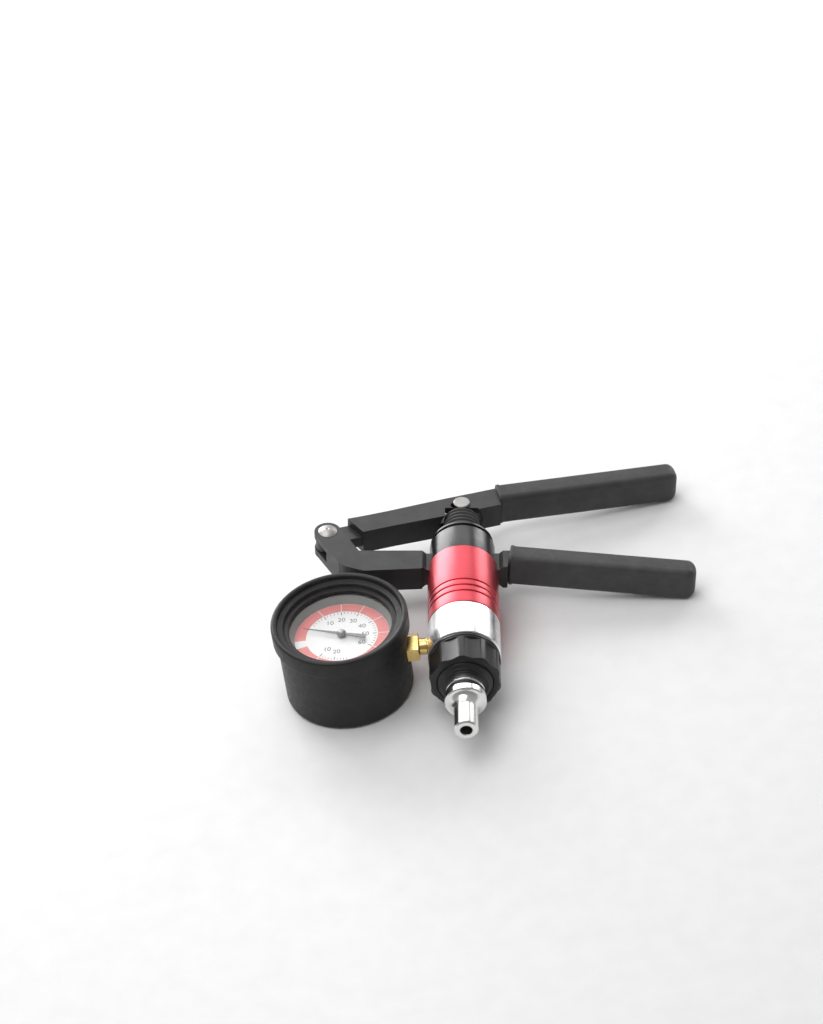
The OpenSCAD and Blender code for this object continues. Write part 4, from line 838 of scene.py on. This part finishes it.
def dial_print():
    """Red band with a gap at zero, white and grey marks, and plain numbers that stand upright."""
    band = bmesh.new()
    sector(band, BAND_IN, BAND_OUT, BAND_FROM, BAND_TO)
    piece("dial_band", band, RED_INK, "pump_body")
    white, grey = bmesh.new(), bmesh.new()
    for numbers, step in ((PRESSURE_NUMBERS, PRESSURE_STEP), (SUCTION_NUMBERS, SUCTION_STEP)):
        for degrees in numbers:
            tick(white, BAND_IN, BAND_OUT, degrees, WHITE_MARK_W, 2 * INK)
            tick(grey, BAND_IN - LONG_TICK, BAND_IN - TICK_GAP, degrees, LONG_TICK_W)
            for k in range(1, DIVISIONS):
                between = degrees + step * k / DIVISIONS
                tick(grey, BAND_IN - SHORT_TICK, BAND_IN - TICK_GAP, between, SHORT_TICK_W)
    piece("dial_white_marks", white, WHITE_INK, "pump_body")
    piece("dial_grey_marks", grey, GREY_INK, "pump_body")
    words = bmesh.new()
    for degrees, word in [*PRESSURE_NUMBERS.items(), *SUCTION_NUMBERS.items()]:
        words.from_mesh(number_mesh(word, DIAL_AT + polar(NUMBER_R, degrees, INK / 2 + INK_FOOT)))
    piece("dial_numbers", words, GREY_INK, "pump_body")


# The dome on the pointer's hub, from its foot sunk in the hub to its top.
DOME_SINK = 0.02 * MM
DOME_R, DOME_SIDE, DOME_SIDE_ROUND = 1.5 * MM, 0.25 * MM, 0.2 * MM
DOME_TOP_R, DOME_H, DOME_TOP_ROUND = 0.7 * MM, 0.5 * MM, 0.3 * MM
DOME_STEPS = 48


def pointer_cap():
    """Small bright dome on the pointer's hub."""
    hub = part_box("pointer")[1].z
    at = centre_of("dial_plate")
    line = rounded([
        (0, hub - DOME_SINK, 0),
        (DOME_R, hub - DOME_SINK, 0),
        (DOME_R, hub + DOME_SIDE, DOME_SIDE_ROUND),
        (DOME_TOP_R, hub + DOME_H, DOME_TOP_ROUND),
        (0, hub + DOME_H, 0),
    ])
    skin = lathe(line, Matrix.Translation((at.x, at.y, 0)), DOME_STEPS)
    return piece("pointer_cap", skin, MATERIALS["bare_steel"], "pointer")


def set_camera():
    """The photograph's camera, without depth of field."""
    data = bpy.data.cameras.new("camera")
    data.sensor_fit = "AUTO"
    data.sensor_width = SENSOR_MM
    data.lens = SENSOR_MM * FOCAL_PX / IMAGE_LONG_PX
    data.clip_start, data.clip_end = CLIP_START, CLIP_END
    camera = bpy.data.objects.new("camera", data)
    bpy.context.scene.collection.objects.link(camera)
    tilt = Matrix.Rotation(math.pi / 2 - CAMERA_DIP, 4, "X")
    camera.matrix_world = HANDLES @ Matrix.Translation(CAMERA_AT) @ tilt
    bpy.context.scene.camera = camera


# Softboxes: bearing from straight behind the part and rise in degrees, sizes in metres, power in watts.
SOFTBOXES = {
    "back_left": dict(bearing=-34.0, rise=18.0, distance=1.1, width=0.60, height=0.75, power=9.0),
    "back_right": dict(bearing=38.0, rise=14.0, distance=1.1, width=0.26, height=0.50, power=2.2),
    "back_high": dict(bearing=2.0, rise=42.0, distance=1.3, width=1.00, height=0.50, power=3.2),
    "overhead": dict(bearing=-110.0, rise=72.0, distance=1.0, width=0.90, height=0.90, power=6.6),
}

# How bright the studio's walls are in front of the part and behind it.
WALL_FRONT, WALL_BACK = 0.24, 0.48

# How far the floor reaches to each side, in metres.
FLOOR_REACH = 6.0


def softbox(name, aim, bearing, rise, distance, width, height, power):
    """A rectangular light that faces the part."""
    data = bpy.data.lights.new(name, "AREA")
    data.shape = "RECTANGLE"
    data.size, data.size_y = width, height
    data.energy = power
    light = bpy.data.objects.new(name, data)
    bpy.context.scene.collection.objects.link(light)
    b, r = math.radians(bearing), math.radians(rise)
    away = Vector((math.sin(b) * math.cos(r), math.cos(b) * math.cos(r), math.sin(r)))
    light.location = aim + distance * away
    light.rotation_euler = (-away).to_track_quat("-Z", "Y").to_euler()


def studio_floor(height):
    """Plain pale paper under the part."""
    bm = bmesh.new()
    bmesh.ops.create_grid(bm, x_segments=1, y_segments=1, size=FLOOR_REACH)
    mesh = bpy.data.meshes.new("floor")
    bm.to_mesh(mesh)
    bm.free()
    paper = painted("floor_paper", (0.80,) * 3, (0.83,) * 3, rough=(0.6, 0.7), peel=3.0, depth=0.02)
    mesh.materials.append(paper.mat)
    floor = bpy.data.objects.new("floor", mesh)
    floor.location = (0, 0, height)
    bpy.context.scene.collection.objects.link(floor)


def studio_walls():
    """A white world that is brighter behind the part than in front of it."""
    world = bpy.data.worlds.new("studio")
    world.use_nodes = True
    tree = world.node_tree
    sky = tree.nodes["Background"]
    sky.inputs["Color"].default_value = (1.0, 1.0, 1.0, 1.0)
    look = tree.nodes.new("ShaderNodeTexCoord")
    split = tree.nodes.new("ShaderNodeSeparateXYZ")
    depth = tree.nodes.new("ShaderNodeMapRange")
    span = {"From Min": -1.0, "From Max": 1.0, "To Min": WALL_FRONT, "To Max": WALL_BACK}
    for socket, value in span.items():
        depth.inputs[socket].default_value = value
    tree.links.new(look.outputs["Generated"], split.inputs[0])
    tree.links.new(split.outputs["Y"], depth.inputs["Value"])
    tree.links.new(depth.outputs[0], sky.inputs["Strength"])
    bpy.context.scene.world = world


def set_studio():
    """Pale floor and walls, two softboxes behind the part, a broad weak one above them and one overhead."""
    low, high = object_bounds()
    studio_floor(low.z)
    for name, values in SOFTBOXES.items():
        softbox(name, (low + high) / 2, **values)
    studio_walls()
    bpy.context.scene.view_settings.view_transform = "Standard"


finish_solids()
for edge_node, edge_width in SOFT_EDGES.items():
    soften(NODES[edge_node], edge_width)
turned_pieces()
selector_ring()
gauge_boot()
rod_bellows()
return_spring()
bent_tube()
nozzle_seal()
grip("fixed_grip_sleeve", "fixed_grip", FIXED_GRIP_SLOPE, "pump_body")
grip("lever_grip_sleeve", "lever_grip", LEVER_GRIP_SLOPE, "lever")
dial_print()
pointer_cap()
set_camera()
set_studio()
